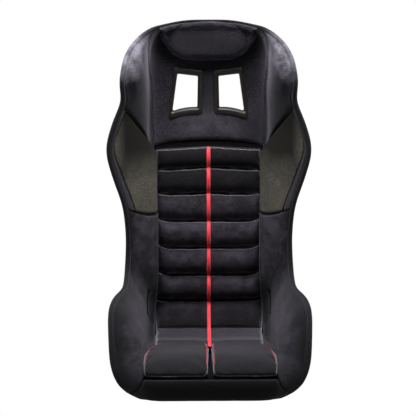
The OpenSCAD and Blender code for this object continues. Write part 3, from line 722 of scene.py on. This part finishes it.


# Painted sheen highlights: colour, band of |x| and band of z
WING_PAINTED_SHEEN = (srgb(134, 130, 143), (0.150, 0.205, 0.30, 0.35), (0.765, 0.82, 0.865, 0.905))
MATERIALS = {
    "velour": velour("velour", srgb(22, 20, 25), srgb(52, 48, 57), 0.3),
    # Upper back and head cushion: a lighter copy of the velour, painted light, with a painted sheen band low
    # in the middle of the upper back.
    "back": velour("back_velour_painted_light", srgb(24, 22, 28), srgb(62, 57, 67), 0.34, 0.5,
                   (srgb(76, 71, 81), (-0.1, -0.05, 0.05, 0.15), (0.56, 0.59, 0.63, 0.68))),
    # Head wings: a darker copy of the velour, painted shade, with a painted sheen highlight on their upper
    # outer part.
    "wing": velour("wing_velour_painted_sheen_and_shade", srgb(7, 6, 9), srgb(15, 13, 18), 0.2, 0.42, WING_PAINTED_SHEEN),
    # Hips: a darker copy of the velour, painted shade, with a painted sheen band down their inner walls.
    "hip": velour("hip_velour_painted_sheen_and_shade", srgb(5, 4, 7), srgb(10, 9, 12), 0.08, 0.5,
                  (srgb(46, 44, 51), (0.14, 0.165, 0.208, 0.236), (0.05, 0.16, 0.46, 0.52))),
    # Waist: a darker copy of the velour, painted shade, with a painted sheen band down its inner walls.
    "waist": velour("waist_velour_painted_sheen_and_shade", srgb(6, 5, 8), srgb(12, 11, 14), 0.1, 0.5,
                    (srgb(68, 64, 73), (0.140, 0.162, 0.205, 0.228), (0.14, 0.22, 0.46, 0.52))),
    # Rim trim: a darker copy of the velour, painted shade, with the wings' painted sheen.
    "edge": velour("edge_velour", srgb(12, 10, 14), srgb(24, 22, 28), 0.1, 0.5, WING_PAINTED_SHEEN),
    # Front lip: a near-black copy of the velour, painted shade.
    "lip": velour("lip_velour_painted_shade", srgb(6, 5, 8), srgb(11, 10, 14), 0.06),
    # Back cushion: a darker copy of the velour with a strong sheen, painted shade, and painted sheen on its
    # lower channels.
    "cushion": velour("cushion_velour_painted_sheen_and_shade", srgb(13, 11, 14), srgb(25, 22, 27), 0.9, 0.3,
                      (srgb(64, 59, 69), (-0.1, -0.05, 0.2, 0.3), (0.04, 0.12, 0.36, 0.46))),
    # Leg pads: a darker copy of the velour, painted shade.
    "pan": velour("pan_velour_painted_shade", srgb(12, 11, 14), srgb(25, 23, 28), 0.16),
    # Welts and piping: a pale copy of the velour, painted highlight lines.
    "welt": velour("welt_velour_painted_highlight", srgb(108, 104, 112), srgb(146, 142, 150), 0.5),
    # Lining: a near-black fabric, painted shade in the gaps between the cushions.
    "lining": velour("lining_fabric", srgb(6, 6, 7), srgb(10, 9, 11), 0.05),
    "grip": grip_mesh(),
    "shell": moulded("black_gelcoat", srgb(22, 22, 24), 0.22, 120.0, 0.2, 0.6),
    "slot": moulded("slot_moulding", srgb(26, 25, 21), 0.45),
    "rubber": moulded("edging_rubber", srgb(20, 20, 20), 0.6),
    "tape": tape_fabric(),
    "steel": steel(),
    "red_thread": thread("red_thread", srgb(225, 60, 70)),
    "hook": moulded("hook_tape", srgb(14, 14, 14), 0.9, 2500.0, 0.05),
}


def finish_piece(obj, material, slot, *nodes, padded_fill=None):
    """Gives a piece its material, lets it ride, and lets it replace CAD nodes. The slot is not used."""
    obj.data.materials.clear()
    obj.data.materials.append(MATERIALS[material])
    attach(obj, "root")
    if nodes:
        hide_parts(*nodes)


SIDES = (("left", -1), ("right", 1))

# ---- shell and trim ----

RIB_V, RIB_W, RIB_H, RIB_RUN = 0.20, 0.022, 8 * MM, (8.4, 9.8, 11.6, 12.6)
MOUNT_PAD_Y, MOUNT_PAD_Z = (-0.255, -0.243, 0.100, 0.108), (0.056, 0.064, 0.114, 0.122)


def outside(u, v):
    """Outside of the shell, with the flat underside, two ribs and the mounting pads."""
    rib = np.exp(-(((np.abs(v) - RIB_V) / RIB_W) ** 4)) * within(u, *RIB_RUN)
    p = skin(u, v) - square_to(u, v) * (SHELL_T + RIB_H * rib)[..., None]
    x, y, z = np.abs(p[..., 0]), p[..., 1], p[..., 2]
    near = smooth(x, MOUNT_X - 22 * MM, MOUNT_X - 16 * MM)
    on_pad = within(y, *MOUNT_PAD_Y) * within(z, *MOUNT_PAD_Z) * near
    p[..., 0] = np.sign(v) * lerp(x, np.maximum(x, MOUNT_X), on_pad)
    p[..., 2] = np.maximum(0, p[..., 2])
    return p


def along_x(distance):
    return np.array([distance, 0, 0])


def belt_slot_prism(side, grow, reach=45 * MM):
    tilt_a, tilt_b = floor_line(np.array(SLOT_BACK_U))
    back = unit(tilt_b - tilt_a)
    normal = np.array([0, back[1], -back[0]])
    outline = slot_outline(grow)
    places = np.stack([outline[:, 0] * -side, floor_line(u_at_z(outline[:, 1]))[:, 0],
                       outline[:, 1]], -1)
    return prism("cutter", places, -normal * reach, normal * reach)


def lap_outline(grow, width=LAP_W):
    flat = stadium(LAP_L, width, grow)
    along = np.array([math.sin(LAP_TILT), math.cos(LAP_TILT)])
    over = np.array([math.cos(LAP_TILT), -math.sin(LAP_TILT)])
    yz = np.array([LAP_Y, LAP_Z]) + flat[:, :1] * along + flat[:, 1:] * over
    return np.concatenate([np.zeros((len(yz), 1)), yz], 1)


def lap_prism(side, width=LAP_W, near=0.13, far=0.27):
    return prism("cutter", lap_outline(CUT_GAP, width), along_x(side * near), along_x(side * far))


def crotch_outline(grow):
    flat = stadium(CROTCH_L, CROTCH_W, grow)
    return np.stack([flat[:, 0], flat[:, 1] + CROTCH_Y, np.zeros(len(flat))], -1)


def crotch_prism(low=-20 * MM, high=70 * MM):
    return prism("cutter", crotch_outline(CUT_GAP), np.array([0, 0, low]), np.array([0, 0, high]))


def round_outline(y, z, r, n=32):
    a = np.linspace(0, 2 * np.pi, n, endpoint=False)
    return np.stack([np.zeros(n), y + r * np.cos(a), z + r * np.sin(a)], -1)


def insert_prisms(d, near, far):
    return [prism("cutter", round_outline(y, MOUNT_Z, d / 2), along_x(side * near), along_x(side * far))
            for _, side in SIDES for y in MOUNTS_Y]


def make_shell():
    _, _, u, v = patch(216, 108, lambda s, t: (s * LAST, 2 * t - 1))
    obj = slab("shell_moulding", skin(u, v), outside(u, v))
    cutters = [belt_slot_prism(side, SURROUND_T + 0.2 * MM) for _, side in SIDES]
    cutters += [lap_prism(side) for _, side in SIDES]
    cutters += insert_prisms(INSERT_D, 0.18, 0.24)
    cut(obj, *cutters, crotch_prism())
    finish_piece(shade(obj, 40), "shell", "shell_gelcoat", "shell")


def rim_path(samples=520):
    """Places (u, v) round the whole rim, evenly spaced along it."""
    corners = np.array([(0, 0), (0, 1), (LAST, 1), (LAST, -1), (0, -1), (0, 0)])
    share = np.linspace(0, 1, 400, endpoint=False)[:, None]
    places = np.concatenate([lerp(a, b, share) for a, b in zip(corners, corners[1:])] + [corners[:1]])
    length = lengths(skin(*places.T))
    even = np.linspace(0, length[-1], samples, endpoint=False)
    return [np.interp(even, length, column) for column in places.T]


# The trim's section, as (outwards, towards the sitter), from its inner lip round the rim
TRIM_PROFILE = np.array([[-14, 4.0], [-9, 5.4], [-4, 6.6], [0.5, 7.0], [4.2, 6.2], [6.8, 3.8], [7.8, 0.2],
                         [6.6, -4.2], [3.4, -7.2], [-1, -8.0], [-6, -8.0], [-11, -7.6], [-11.4, -6.4],
                         [-5, -6.1], [0.4, -5.9], [0.5, 0], [-3, 2.5], [-9, 3.2]]) * MM


def make_trim():
    """The trim stands less proud at the lip, and is lower along the top."""
    u, v = rim_path()
    points = softened(skin(u, v), 4)
    normals = unit(softened(square_to(u, v), 5))
    proud = lerp(0.35, 1, smooth(u, 0.2, 1.4))[:, None, None]
    high = lerp(1, 0.7, smooth(u, 17.0, 17.5))[:, None, None]
    obj = ring("rim_edge_trim", sweep(points, normals, TRIM_PROFILE, True, proud, high))
    finish_piece(subdivide(obj), "edge", "edge_velour", "rim_trim")


# ---- covers ----


def make_lining():
    def at(s, t):
        u = lerp(LIP_END + SEAM_U, CHANNELS[7] + SEAM_U + BACK_BOW * (1 - (2 * t - 1) ** 2), s)
        return u, cushion_v(u) * (2 * t - 1)
    _, _, u, v = patch(120, 60, at)
    obj = slab("cushion_lining", layer(u, v, LINING_T), layer(u, v, UNDER))
    cut(obj, crotch_prism())
    finish_piece(shade(obj, 40), "lining", "lining_fabric", "lining")


def make_lip():
    def at(s, t):
        v = EDGE_V * (2 * t - 1)
        return lerp(0.03, lip_u(np.abs(v)), s), v
    obj = cover("lip_cover", 36, 150, at, roll=(0, 9, 0, 0), low=(0, 0.5, 0, 0), fullness=0.9,
                ripple=0.5, seed=3)
    finish_piece(subdivide(obj), "lip", "velour", "front_lip_cover", padded_fill=0.6)


def bolster_at(u0, u1):
    """Patch between two seams, each given as a function of v, outside the cushions."""
    v0, v1 = bolster_v(u0(0.5)), bolster_v(u1(0.58))

    def at(s, t):
        u = lerp(u0(lerp(v0, EDGE_V, t)), u1(lerp(v1, EDGE_V, t)), s)
        return u, lerp(bolster_v(u), EDGE_V, t)
    return at


def make_hip(name, side):
    at = bolster_at(lambda v: lip_u(v) + SEAM_U, lambda v: WAIST_SEAM + 0 * v)
    obj = cover("hip_pad_" + name, 150, 60, at, side, roll=(16, 0, 14, 0), low=(0.5, 0, 0.45, 0),
                ripple=0.5, seed=4)
    cut(obj, lap_prism(side, LAP_SLIT_W), *insert_prisms(INSERT_D + CUT_GAP, 0.195, 0.24))
    finish_piece(shade(obj, 50), "hip", "velour", "hip_bolster_" + name, padded_fill=0.8)


def make_waist(name, side):
    at = bolster_at(lambda v: WAIST_SEAM + 0 * v, lambda v: panel_low_u(v) - SEAM_U)
    obj = cover("waist_pad_" + name, 90, 60, at, side, roll=(0, 4, 14, 0), low=(0, 0.75, 0.45, 0),
                ripple=0.5, seed=4)
    finish_piece(shade(obj, 50), "waist", "velour", "waist_bolster_" + name, padded_fill=0.8)


def make_panel(name, side):
    v0 = bolster_v(np.array(PANEL_LOW))

    def at(s, t):
        low = lerp(v0, band_edge(BAND_LOW_U), t)
        high = lerp(PANEL_IN_V, band_edge(BAND_HIGH_U), t)
        u = lerp(panel_low_u(low) + SEAM_U, panel_top_u(high) - SEAM_U / 2, s)
        return u, lerp(bolster_v(u), band_edge(u), t)
    obj = cover("grip_panel_" + name, 60, 44, at, side, roll=(4, 6, 18, 5), low=(0.75, 0.7, 0.4, 0.8),
                ripple=0.4, seed=6)
    finish_piece(subdivide(obj), "grip", "grip_fabric", "shoulder_panel_" + name, padded_fill=0.8)


def make_band(name, side):
    def at(s, t):
        low = lerp(band_edge(BAND_LOW_U), EDGE_V, t)
        high = lerp(band_edge(BAND_HIGH_U), EDGE_V, t)
        u = lerp(panel_low_u(low) + SEAM_U, panel_top_u(high) - SEAM_U / 2, s)
        return u, lerp(band_edge(u) + SEAM_V, EDGE_V, t)
    obj = cover("shoulder_edge_band_" + name, 90, 8, at, side, roll=(0, 0, 3, 0), low=(0, 0, 0.7, 0),
                ripple=0.3, seed=7)
    finish_piece(subdivide(obj), "velour", "velour", "shoulder_band_" + name, padded_fill=0.6)


def thin(u, v):
    """Depth of a plain cover, where the padding under it is thicker than it."""
    return np.minimum(COVER_T, depth(u, v))


def make_upper_back():
    low_u = CHANNELS[7] + 0.03

    def at(s, t):
        u = lerp(low_u + BACK_BOW * (1 - (2 * t - 1) ** 2), LAST - 0.08, s)
        return u, np.minimum(EDGE_V, crease_v(u) - SEAM_V) * (2 * t - 1)
    obj = cover("upper_back_panel", 110, 84, at, full=thin, roll=(10, 0, 1.2, 1.2),
                low=(0.6, 0, 0.9, 0.9), ripple=0.25, seed=8)
    cut(obj, *[belt_slot_prism(side, SURROUND_T + 0.4 * MM) for _, side in SIDES])
    finish_piece(shade(obj, 50), "back", "velour", "upper_back_cover", padded_fill=0.7)


def make_wing(name, side):
    top = WING_TOP - 0.15

    def at(s, t):
        c = crease_v(lerp(PANEL_TOP, top, s)) + SEAM_V
        u = lerp(panel_top_u(lerp(PANEL_IN_V, 1, t)) + SEAM_U / 2, top, s)
        return u, lerp(c, EDGE_V, t)

    def full(u, v):
        """Thin at the crease and full towards the rim, with a bulge in the upper part."""
        c = crease_v(u)
        share = (np.abs(v) - c) / (EDGE_V - c)
        below_top = smooth(-u, -WING_TOP, -WING_TOP + 1.1)
        out = smooth(share, 0.0, 0.8) * below_top
        bulge = WING_BULGE * smooth(share, 0.15, 0.75) * (1 - smooth(share, 0.82, 1.0)) * below_top
        return lerp(thin(u, v), depth(u, v), out) + bulge * smooth(u, 13.2, 14.6)
    obj = cover("head_wing_cover_" + name, 90, 60, at, side, full, roll=(14, 1.2, 1.2, 0),
                low=(0.5, 0.9, 0.9, 0), ripple=0.8, seed=9)
    finish_piece(subdivide(obj), "wing", "velour", "head_wing_pad_" + name, padded_fill=0.8)


# ---- loose cushions ----


def on_tape(s, t, u, v):
    """Depth of a cushion's underside, on its hook tape."""
    return CUSHION_LOW


def in_place(s, t, u, v):
    return 0


def cushion(name, rows, cols, at, top, low=on_tape, shift=in_place, held_rows=(), held_cols=(),
            cap=3 * MM, slack=0.005):
    """Loose cushion between two depths, and the grid of its upper side. Its underside, its
    border and the rows of its sewn channels are held while the cover fills out."""
    s, t, u, v = patch(rows, cols, at)
    move = shift(s, t, u, v)
    obj = slab(name, layer(u, v, top(s, t, u, v)) + move, layer(u, v, low(s, t, u, v)) + move)
    w, n = cols + 1, (rows + 1) * (cols + 1)
    held = list(range(n, 2 * n))
    held += [i * w + j for i in range(rows + 1) for j in range(w)
             if i in (0, rows) or j in (0, cols) or i in held_rows or j in held_cols]
    swell(obj, held, cap, slack)
    grid = np.array([p.co for p in obj.data.vertices])[:n].reshape(rows + 1, w, 3)
    return obj, grid


def rolled_in(s, t, first, last, side):
    """Rounding towards the four edges, each given as a share of the length and a low."""
    ends = np.minimum(rolled(s, *first), rolled(1 - s, *last))
    return np.minimum(ends, np.minimum(rolled(t, *side), rolled(1 - t, *side)))


def head_side(u):
    low = HEAD_LOW + HEAD_BOW - 0.02
    f = np.maximum(0, u - low) / (WING_TOP - low)
    return np.minimum(0.985, 0.30 + 0.40 * f + 0.25 * f**6)


def make_head_cushion():
    def at(s, t):
        x = -np.cos(np.pi * t)
        u = lerp(HEAD_LOW + HEAD_BOW * x**4, HEAD_END, s)
        return u, x * head_side(u)

    def low(s, t, u, v):
        return thin(u, v) + TAPE_T + 0.8 * MM

    def top(s, t, u, v):
        full = np.maximum(HEAD_THIN, depth(u, v) - low(s, t, u, v))
        return low(s, t, u, v) + full * rolled_in(s, t, (0.06, 0.4), (0.10, 0.75), (0.07, 0.4)) * 0.9

    def shift(s, t, u, v):
        """Laps the upper end and its corners over the rim."""
        corners = smooth(s, 0.72, 0.82) * smooth(np.abs(np.cos(np.pi * t)), 0.92, 1)
        over = np.maximum(smooth(s, 0.88, 1), corners)
        out = unit(skin(u, v) - skin(np.full_like(u, HEAD_MIDDLE), 0 * v))
        return out * (HEAD_LAP * over)[..., None]
    obj, _ = cushion("head_cushion_pad", 52, 60, at, top, low, shift, cap=4 * MM, slack=0.02)
    finish_piece(subdivide(obj), "back", "cushion_fabric", "head_cushion", padded_fill=0.8)


CHANNEL_ROWS, BACK_COLS, SEAT_COLS = 18, 72, 64


def channel_place(s):
    """Place u of a share of the back cushion's length, with rows close at the seams, and
    the share of the channel that it lies at."""
    k = np.minimum(6, np.floor(s * 7 + 1e-6)).astype(int)
    f = eased(s * 7 - k)
    c = np.array(CHANNELS[:-1] + [BACK_TOP])
    return lerp(c[k], c[k + 1], f), f


def puffed(f, seam=0.03, square=2.2):
    """Share of the depth along a channel: low in the seam, then full and nearly flat."""
    across = np.clip(np.abs(2 * f - 1) / (1 - seam), 0, 1)
    return (1 - across**square) ** 0.5


def middle_cols(cols, reach):
    """Columns under the stripe, which its stitching holds down."""
    return range(cols // 2 - reach, cols // 2 + reach + 1)


def make_back_cushion():
    def at(s, t):
        u, f = channel_place(s)
        x = -np.cos(np.pi * t)
        bow = 0.06 * (1 - np.abs(x)) ** 1.2 * smooth(s, 0.55, 0.9)
        return u + bow, x * (cushion_v(u) - 0.014 - 0.020 * (1 - puffed(f)))

    def top(s, t, u, v):
        x = np.abs(np.cos(np.pi * t))
        across = (1 - x**7) ** 0.5 * (1 - 0.10 * np.exp(-((x / 0.05) ** 2)))
        share = 0.30 + 0.68 * puffed(channel_place(s)[1])
        return CUSHION_LOW + (depth(u, v) - CUSHION_LOW) * share * lerp(0.42, 1, across)
    seams = range(0, 7 * CHANNEL_ROWS + 1, CHANNEL_ROWS)
    obj, grid = cushion("channelled_back_cushion", seams[-1], BACK_COLS, at, top, held_rows=seams,
                        held_cols=middle_cols(BACK_COLS, 3), slack=0.01)
    # Pale welts along each channel's upper edge, three rows below its seam: painted highlight lines.
    welts = []
    for k in seams[1:]:
        line, normals = grid[k - 3, 3:-3], grid_normals(grid)[k - 3, 3:-3]
        welts.append(tube("welt", line + normals * 0.2 * MM, normals, circle(1.6 * MM, 0.7 * MM, 8)))
    finish_piece(joined("back_cushion_seam_welts_painted_highlight", welts), "welt", "cushion_fabric")
    finish_piece(subdivide(obj), "cushion", "cushion_fabric", "back_cushion", padded_fill=0.8)
    return grid


def pan_top(fullness, side):
    """Upper side of a plain cushion, whose sides roll down over a share of its width."""
    def top(s, t, u, v):
        share = rolled_in(s, t, (0.12, 0.35), (0.12, 0.35), (side, 0.35)) * fullness
        return CUSHION_LOW + (depth(u, v) - CUSHION_LOW) * share
    return top


def corner_draw(u, u0, u1):
    """How far a cushion's side is drawn in near its ends, which rounds its corners."""
    near = np.clip(np.minimum(u - u0, u1 - u) / CORNER_U, 0, 1)
    return CORNER_V * (1 - np.sqrt(np.maximum(0, 1 - (1 - near) ** 2)))


def pan_at(u0, u1, v0, v1):
    def at(s, t):
        u = lerp(u0, u1, eased(s))
        draw = corner_draw(u, u0, u1)
        return u, lerp(v0(u) + draw, v1(u) - draw, eased(t))
    return at


def piping(name, grid, radius=1.2 * MM):
    """Piping round a cushion, one row inside the grid's border, in pale velour: a painted highlight line
    along the cushion's edge.
    """
    a, b = grid.shape[0] - 2, grid.shape[1] - 2
    places = ([(1, j) for j in range(1, b)] + [(i, b) for i in range(1, a)]
              + [(a, j) for j in range(b, 1, -1)] + [(i, 1) for i in range(a, 1, -1)])
    i, j = np.array(places).T
    line, normals = softened(grid[i, j], 1), unit(softened(grid_normals(grid)[i, j], 2))
    obj = tube(name, line, normals, circle(radius, radius, 8), closed=True)
    finish_piece(obj, "welt", "cushion_fabric")


STITCH_DIP = np.array([-0.3, 0.35, 0.5, 0.35, -0.3]) * MM


def stitches(name, points, normals, length=4.2 * MM, gap=1.6 * MM, radius=0.45 * MM):
    """Row of sewn stitches along a line, each a small thread that dips in at its ends."""
    along = lengths(points)
    parts, at = [], 0.0
    while at + length < along[-1]:
        d = np.linspace(at, at + length, len(STITCH_DIP))
        line, up = (np.stack([np.interp(d, along, a[:, k]) for k in range(3)], -1)
                    for a in (points, normals))
        up = unit(up)
        parts.append(tube("stitch", line + up * STITCH_DIP[:, None], up, circle(radius, radius, 6)))
        at += length + gap
    finish_piece(joined(name, parts), "red_thread", "stripe_fabric")


def make_seat_cushion():
    at = pan_at(SEAT_FRONT + SEAM_U, SEAT_REAR, lambda u: -cushion_v(u), cushion_v)
    obj, grid = cushion("seat_strip_cushion", 26, SEAT_COLS, at, pan_top(0.97, 0.012),
                        held_cols=middle_cols(SEAT_COLS, 2))
    finish_piece(subdivide(obj), "velour", "cushion_fabric", "seat_cushion", padded_fill=0.8)
    return grid


def leg_gap(u):
    """Place v of a leg cushion's inner edge: the gap narrows towards the stripe's end."""
    share = (u - LEG_FRONT) / (STRIPE_FRONT - LEG_FRONT)
    return np.where(u > STRIPE_FRONT, 0.014, lerp(0.020, 0.006, share))


def make_leg_cushion(name, side):
    edges = [lambda u: side * leg_gap(u), lambda u: side * cushion_v(u)][::side]
    at = pan_at(LEG_FRONT, SEAT_FRONT - SEAM_U, *edges)
    obj, grid = cushion("leg_pad_" + name, 60, 40, at, pan_top(0.96, 0.10), cap=4 * MM)
    piping("leg_pad_piping_painted_highlight_" + name, grid)
    normals = grid_normals(grid)
    for edge, col in zip(("inner", "outer"), (3, -4)[::side]):
        stitches(f"leg_pad_stitching_{edge}_{name}", grid[10:-14, col], normals[10:-14, col])
    finish_piece(subdivide(obj), "pan", "cushion_fabric", "leg_cushion_" + name, padded_fill=0.8)


# ---- stripe and stitching ----


def ribbon(name, points, normals, taper=1.0, lift=3 * MM, bridge=17 * MM):
    """Tape with rounded ends along a path, which bridges the seams below it. It narrows to
    the share taper towards the start of the path."""
    along = lengths(points)
    weight = np.exp(-((along[:, None] - along[None]) / bridge) ** 2) * np.gradient(along)[None]
    weight /= weight.sum(1, keepdims=True)
    points, normals = weight @ points, unit(weight @ normals)
    from_end = np.minimum(along, along[-1] - along)
    ends = np.sqrt(1 - (1 - np.clip(from_end / STRIPE_HALF, 0.03, 1)) ** 2)
    wide = ends * lerp(taper, 1, smooth(along, 0, 60 * MM))
    shoulder = 0.6 * STRIPE_HALF
    profile = np.array([[-STRIPE_HALF, 0], [-shoulder, 0.9 * MM], [shoulder, 0.9 * MM],
                        [STRIPE_HALF, 0], [shoulder, -0.6 * MM], [-shoulder, -0.6 * MM]])
    return tube(name, points + normals * lift, normals, profile, wide=wide[:, None, None])


def make_back_tape(grid):
    middle = grid.shape[1] // 2
    obj = ribbon("back_stripe_tape", grid[:, middle], grid_normals(grid)[:, middle])
    finish_piece(obj, "tape", "stripe_fabric", "back_stripe")


def make_seat_tape(grid):
    """Tape over the seat cushion, whose front end dips between the two front pads."""
    middle = grid.shape[1] // 2
    u = np.linspace(STRIPE_FRONT, SEAT_FRONT - 0.05, 40)
    front = layer(u, 0 * u, depth(u, 0 * u) * 0.86)
    points = np.concatenate([front, grid[2:, middle]])
    normals = np.concatenate([square_to(u, 0 * u), grid_normals(grid)[2:, middle]])
    obj = ribbon("seat_stripe_tape", points, normals, 0.6, 1.5 * MM, 7 * MM)
    finish_piece(obj, "tape", "stripe_fabric", "seat_stripe")


# ---- belt slots ----


def slot_ring(name, side, profile):
    """Ring round a shoulder belt slot, with a profile of (outwards, over the shell)."""
    loops = []
    for out, over in np.array(profile) * MM:
        line = surround_outline(out)
        u = u_at_z(line[:, 1])
        v = floor_v(u, line[:, 0] * -side)
        loops.append(skin(u, v) + square_to(u, v) * over)
    return ring(name, np.stack(loops, 1))


def make_surround(name, side):
    c, t, w = COVER_T / MM, SURROUND_T / MM, SURROUND_W / MM
    profile = [[0, -7], [t, -7], [t, c - 1], [t, c + 0.3], [w - 3, c + 0.3], [w, c + 0.3], [w + 0.2, c + 1],
               [w, c + 2], [w - 0.9, c + 3.3], [w - 2.4, c + 4], [t + 2, c + 4.5], [t + 1.2, c + 4.3],
               [t + 0.6, c + 3.6], [0.2, c / 2 + 0.4], [0, c / 2 - 1]]
    obj = slot_ring("belt_slot_surround_" + name, side, profile)
    finish_piece(shade(obj, 60), "slot", "slot_plastic", "harness_surround_" + name)


def make_rear_frame(name, side):
    t, w = SURROUND_T / MM + 0.3, SURROUND_W / MM
    profile = [[t, -5.9], [t, -8.4], [t + 0.5, -8.9], [w - 1.2, -8.9], [w - 0.2, -8.2], [w, -7], [w, -5.9]]
    obj = slot_ring("belt_slot_back_frame_" + name, side, profile)
    finish_piece(shade(obj, 40), "slot", "slot_plastic", "harness_rear_frame_" + name)


def edging(name, node, outline, start, end):
    """Rubber liner of a slot between two shifts of its outline."""
    inner, outer = outline(0), outline(EDGING_T)
    obj = ring(name, np.stack([outer + start, outer + end, inner + end, inner + start], 1))
    finish_piece(shade(obj, 40), "rubber", "edging_rubber", node)


def make_lap_edging(name, side):
    edging("lap_slot_liner_" + name, "lap_slot_edging_" + name, lap_outline,
           along_x(side * 190 * MM), along_x(side * 213 * MM))


def make_crotch_edging():
    low = floor_line(np.array(CROTCH_U))[1] - SHELL_T - 2 * MM
    high = low + SHELL_T + LINING_T + 2 * MM
    edging("crotch_slot_liner", "crotch_slot_edging", crotch_outline, np.array([0, 0, low]),
           np.array([0, 0, high]))


def make_inserts(name, side):
    """Flanged steel inserts with a turned thread."""
    r, tip, crest, turns = INSERT_D / 2, 0.5 * MM, 0.35 * MM, 48
    bottom = INSERT_L - 3 * MM
    profile = [(0, r - 1.1 * MM), (0, r - 0.4 * MM), (0.6 * MM, r - 0.1 * MM),
               (INSERT_L, r - 0.1 * MM), (INSERT_L, tip), (bottom, tip)]
    profile += [(d, TAP_D / 2 + crest * (k % 2)) for k, d in enumerate(np.linspace(bottom, 0, turns))]
    parts = [ring("insert", np.stack([round_outline(y, MOUNT_Z, q) + along_x(side * (MOUNT_X - d))
                                      for d, q in profile], 1)) for y in MOUNTS_Y]
    obj = joined("mounting_inserts_" + name, parts)
    finish_piece(shade(obj, 35), "steel", "insert_steel", "threaded_inserts_" + name)


def joined(name, parts):
    """One piece of several meshes."""
    points, faces, first = [], [], 0
    for part in parts:
        points += [list(p.co) for p in part.data.vertices]
        faces += [tuple(first + i for i in f.vertices) for f in part.data.polygons]
        first = len(points)
        bpy.data.objects.remove(part)
    obj = add_mesh(name, points, faces)
    return shade(obj)


# Hook tapes: middle x, first and last u, and the depth of what they are glued to
HOOK_TAPES = ((-70 * MM, 15.6, 16.6, COVER_T), (-70 * MM, 9.2, 11.6, LINING_T),
              (-80 * MM, 5.5, 6.3, LINING_T), (-50 * MM, 2.4, 4.6, LINING_T))
HOOK_TAPE_W = 24 * MM


def make_hook_tapes():
    parts = []
    for x, u0, u1, low in HOOK_TAPES:
        def at(s, t):
            u = lerp(u0, u1, s)
            return u, floor_v(u, x + HOOK_TAPE_W * (t - 0.5))
        for _, side in SIDES:
            _, _, u, v = patch(30, 6, at, side)
            parts.append(slab("tape", layer(u, v, low + TAPE_T), layer(u, v, low + 0.1 * MM)))
    finish_piece(joined("hook_tapes", parts), "hook", "hook_tape", "hook_tape_strips")


# ---- build ----

make_shell()
make_trim()
make_lining()
make_lip()
for side_name, side_sign in SIDES:
    make_hip(side_name, side_sign)
    make_waist(side_name, side_sign)
    make_panel(side_name, side_sign)
    make_band(side_name, side_sign)
    make_wing(side_name, side_sign)
    make_surround(side_name, side_sign)
    make_rear_frame(side_name, side_sign)
    make_lap_edging(side_name, side_sign)
    make_inserts(side_name, side_sign)
make_upper_back()
make_crotch_edging()
make_hook_tapes()
make_head_cushion()
back_grid = make_back_cushion()
seat_grid = make_seat_cushion()
for side_name, side_sign in SIDES:
    make_leg_cushion(side_name, side_sign)
make_back_tape(back_grid)
make_seat_tape(seat_grid)

# ---- camera, light and floor ----

TARGET = Vector((0, -0.040, 0.450))
DISTANCE, AZIMUTH, ELEVATION = 3.2, math.radians(-0.6), math.radians(21)
PHOTO_PX, FOCAL_PX = 416, 1152
PRINCIPAL = (209.3, 205.5)


def make_camera():
    data = bpy.data.cameras.new("camera")
    data.sensor_width = 36
    data.lens = FOCAL_PX / PHOTO_PX * data.sensor_width
    data.shift_x = (PHOTO_PX / 2 - PRINCIPAL[0]) / PHOTO_PX
    data.shift_y = (PRINCIPAL[1] - PHOTO_PX / 2) / PHOTO_PX
    camera = bpy.data.objects.new("camera", data)
    back = Vector((math.sin(AZIMUTH) * math.cos(ELEVATION), -math.cos(AZIMUTH) * math.cos(ELEVATION),
                   math.sin(ELEVATION)))
    camera.location = TARGET + back * DISTANCE
    camera.rotation_mode = "QUATERNION"
    camera.rotation_quaternion = (-back).to_track_quat("-Z", "Y")
    bpy.context.scene.collection.objects.link(camera)
    bpy.context.scene.camera = camera


def softbox(name, place, aim, size, power):
    data = bpy.data.lights.new(name, "AREA")
    data.shape = "RECTANGLE"
    data.size, data.size_y = size
    data.energy = power
    light = bpy.data.objects.new(name, data)
    light.location = place
    light.rotation_mode = "QUATERNION"
    light.rotation_quaternion = (Vector(aim) - Vector(place)).to_track_quat("-Z", "Y")
    bpy.context.scene.collection.objects.link(light)


def seen_as(tree, lit, shown, surface):
    """The camera sees the shader shown, and everything else meets the shader lit."""
    path = tree.nodes.new("ShaderNodeLightPath")
    mix = tree.nodes.new("ShaderNodeMixShader")
    for a, b in ((path.outputs["Is Camera Ray"], mix.inputs[0]), (lit.outputs[0], mix.inputs[1]),
                 (shown.outputs[0], mix.inputs[2]), (mix.outputs[0], surface)):
        tree.links.new(a, b)


def make_floor(half=6.0, z=-0.5 * MM):
    """Pale floor that the camera sees as plain white."""
    corners = [[-half, -half, z], [half, -half, z], [half, half, z], [-half, half, z]]
    obj = add_mesh("floor", corners, [(0, 1, 2, 3)])
    material = bpy.data.materials.new("floor_paint")
    material.use_nodes = True
    tree = material.node_tree
    bsdf = tree.nodes["Principled BSDF"]
    bsdf.inputs["Base Color"].default_value = (0.25, 0.25, 0.25, 1)
    bsdf.inputs["Roughness"].default_value = 0.9
    glow = tree.nodes.new("ShaderNodeEmission")
    glow.inputs["Color"].default_value = (1, 1, 1, 1)
    seen_as(tree, bsdf, glow, tree.nodes["Material Output"].inputs["Surface"])
    obj.data.materials.append(material)


def make_world():
    world = bpy.data.worlds.new("studio")
    world.use_nodes = True
    tree = world.node_tree
    dim = tree.nodes["Background"]
    dim.inputs["Color"].default_value = (1, 1, 1, 1)
    dim.inputs["Strength"].default_value = 0.04
    white = tree.nodes.new("ShaderNodeBackground")
    white.inputs["Color"].default_value = (1, 1, 1, 1)
    seen_as(tree, dim, white, tree.nodes["World Output"].inputs["Surface"])
    bpy.context.scene.world = world


make_camera()
make_floor()
make_world()
softbox("top_box", (0.0, -0.05, 2.7), (0, 0, 0.4), (2.2, 1.0), 165)
softbox("left_box", (-2.5, -0.7, 1.1), (0, 0, 0.5), (0.7, 1.8), 28)
softbox("right_box", (2.5, -0.7, 1.1), (0, 0, 0.5), (0.7, 1.8), 28)
bpy.context.scene.view_settings.view_transform = "Standard"
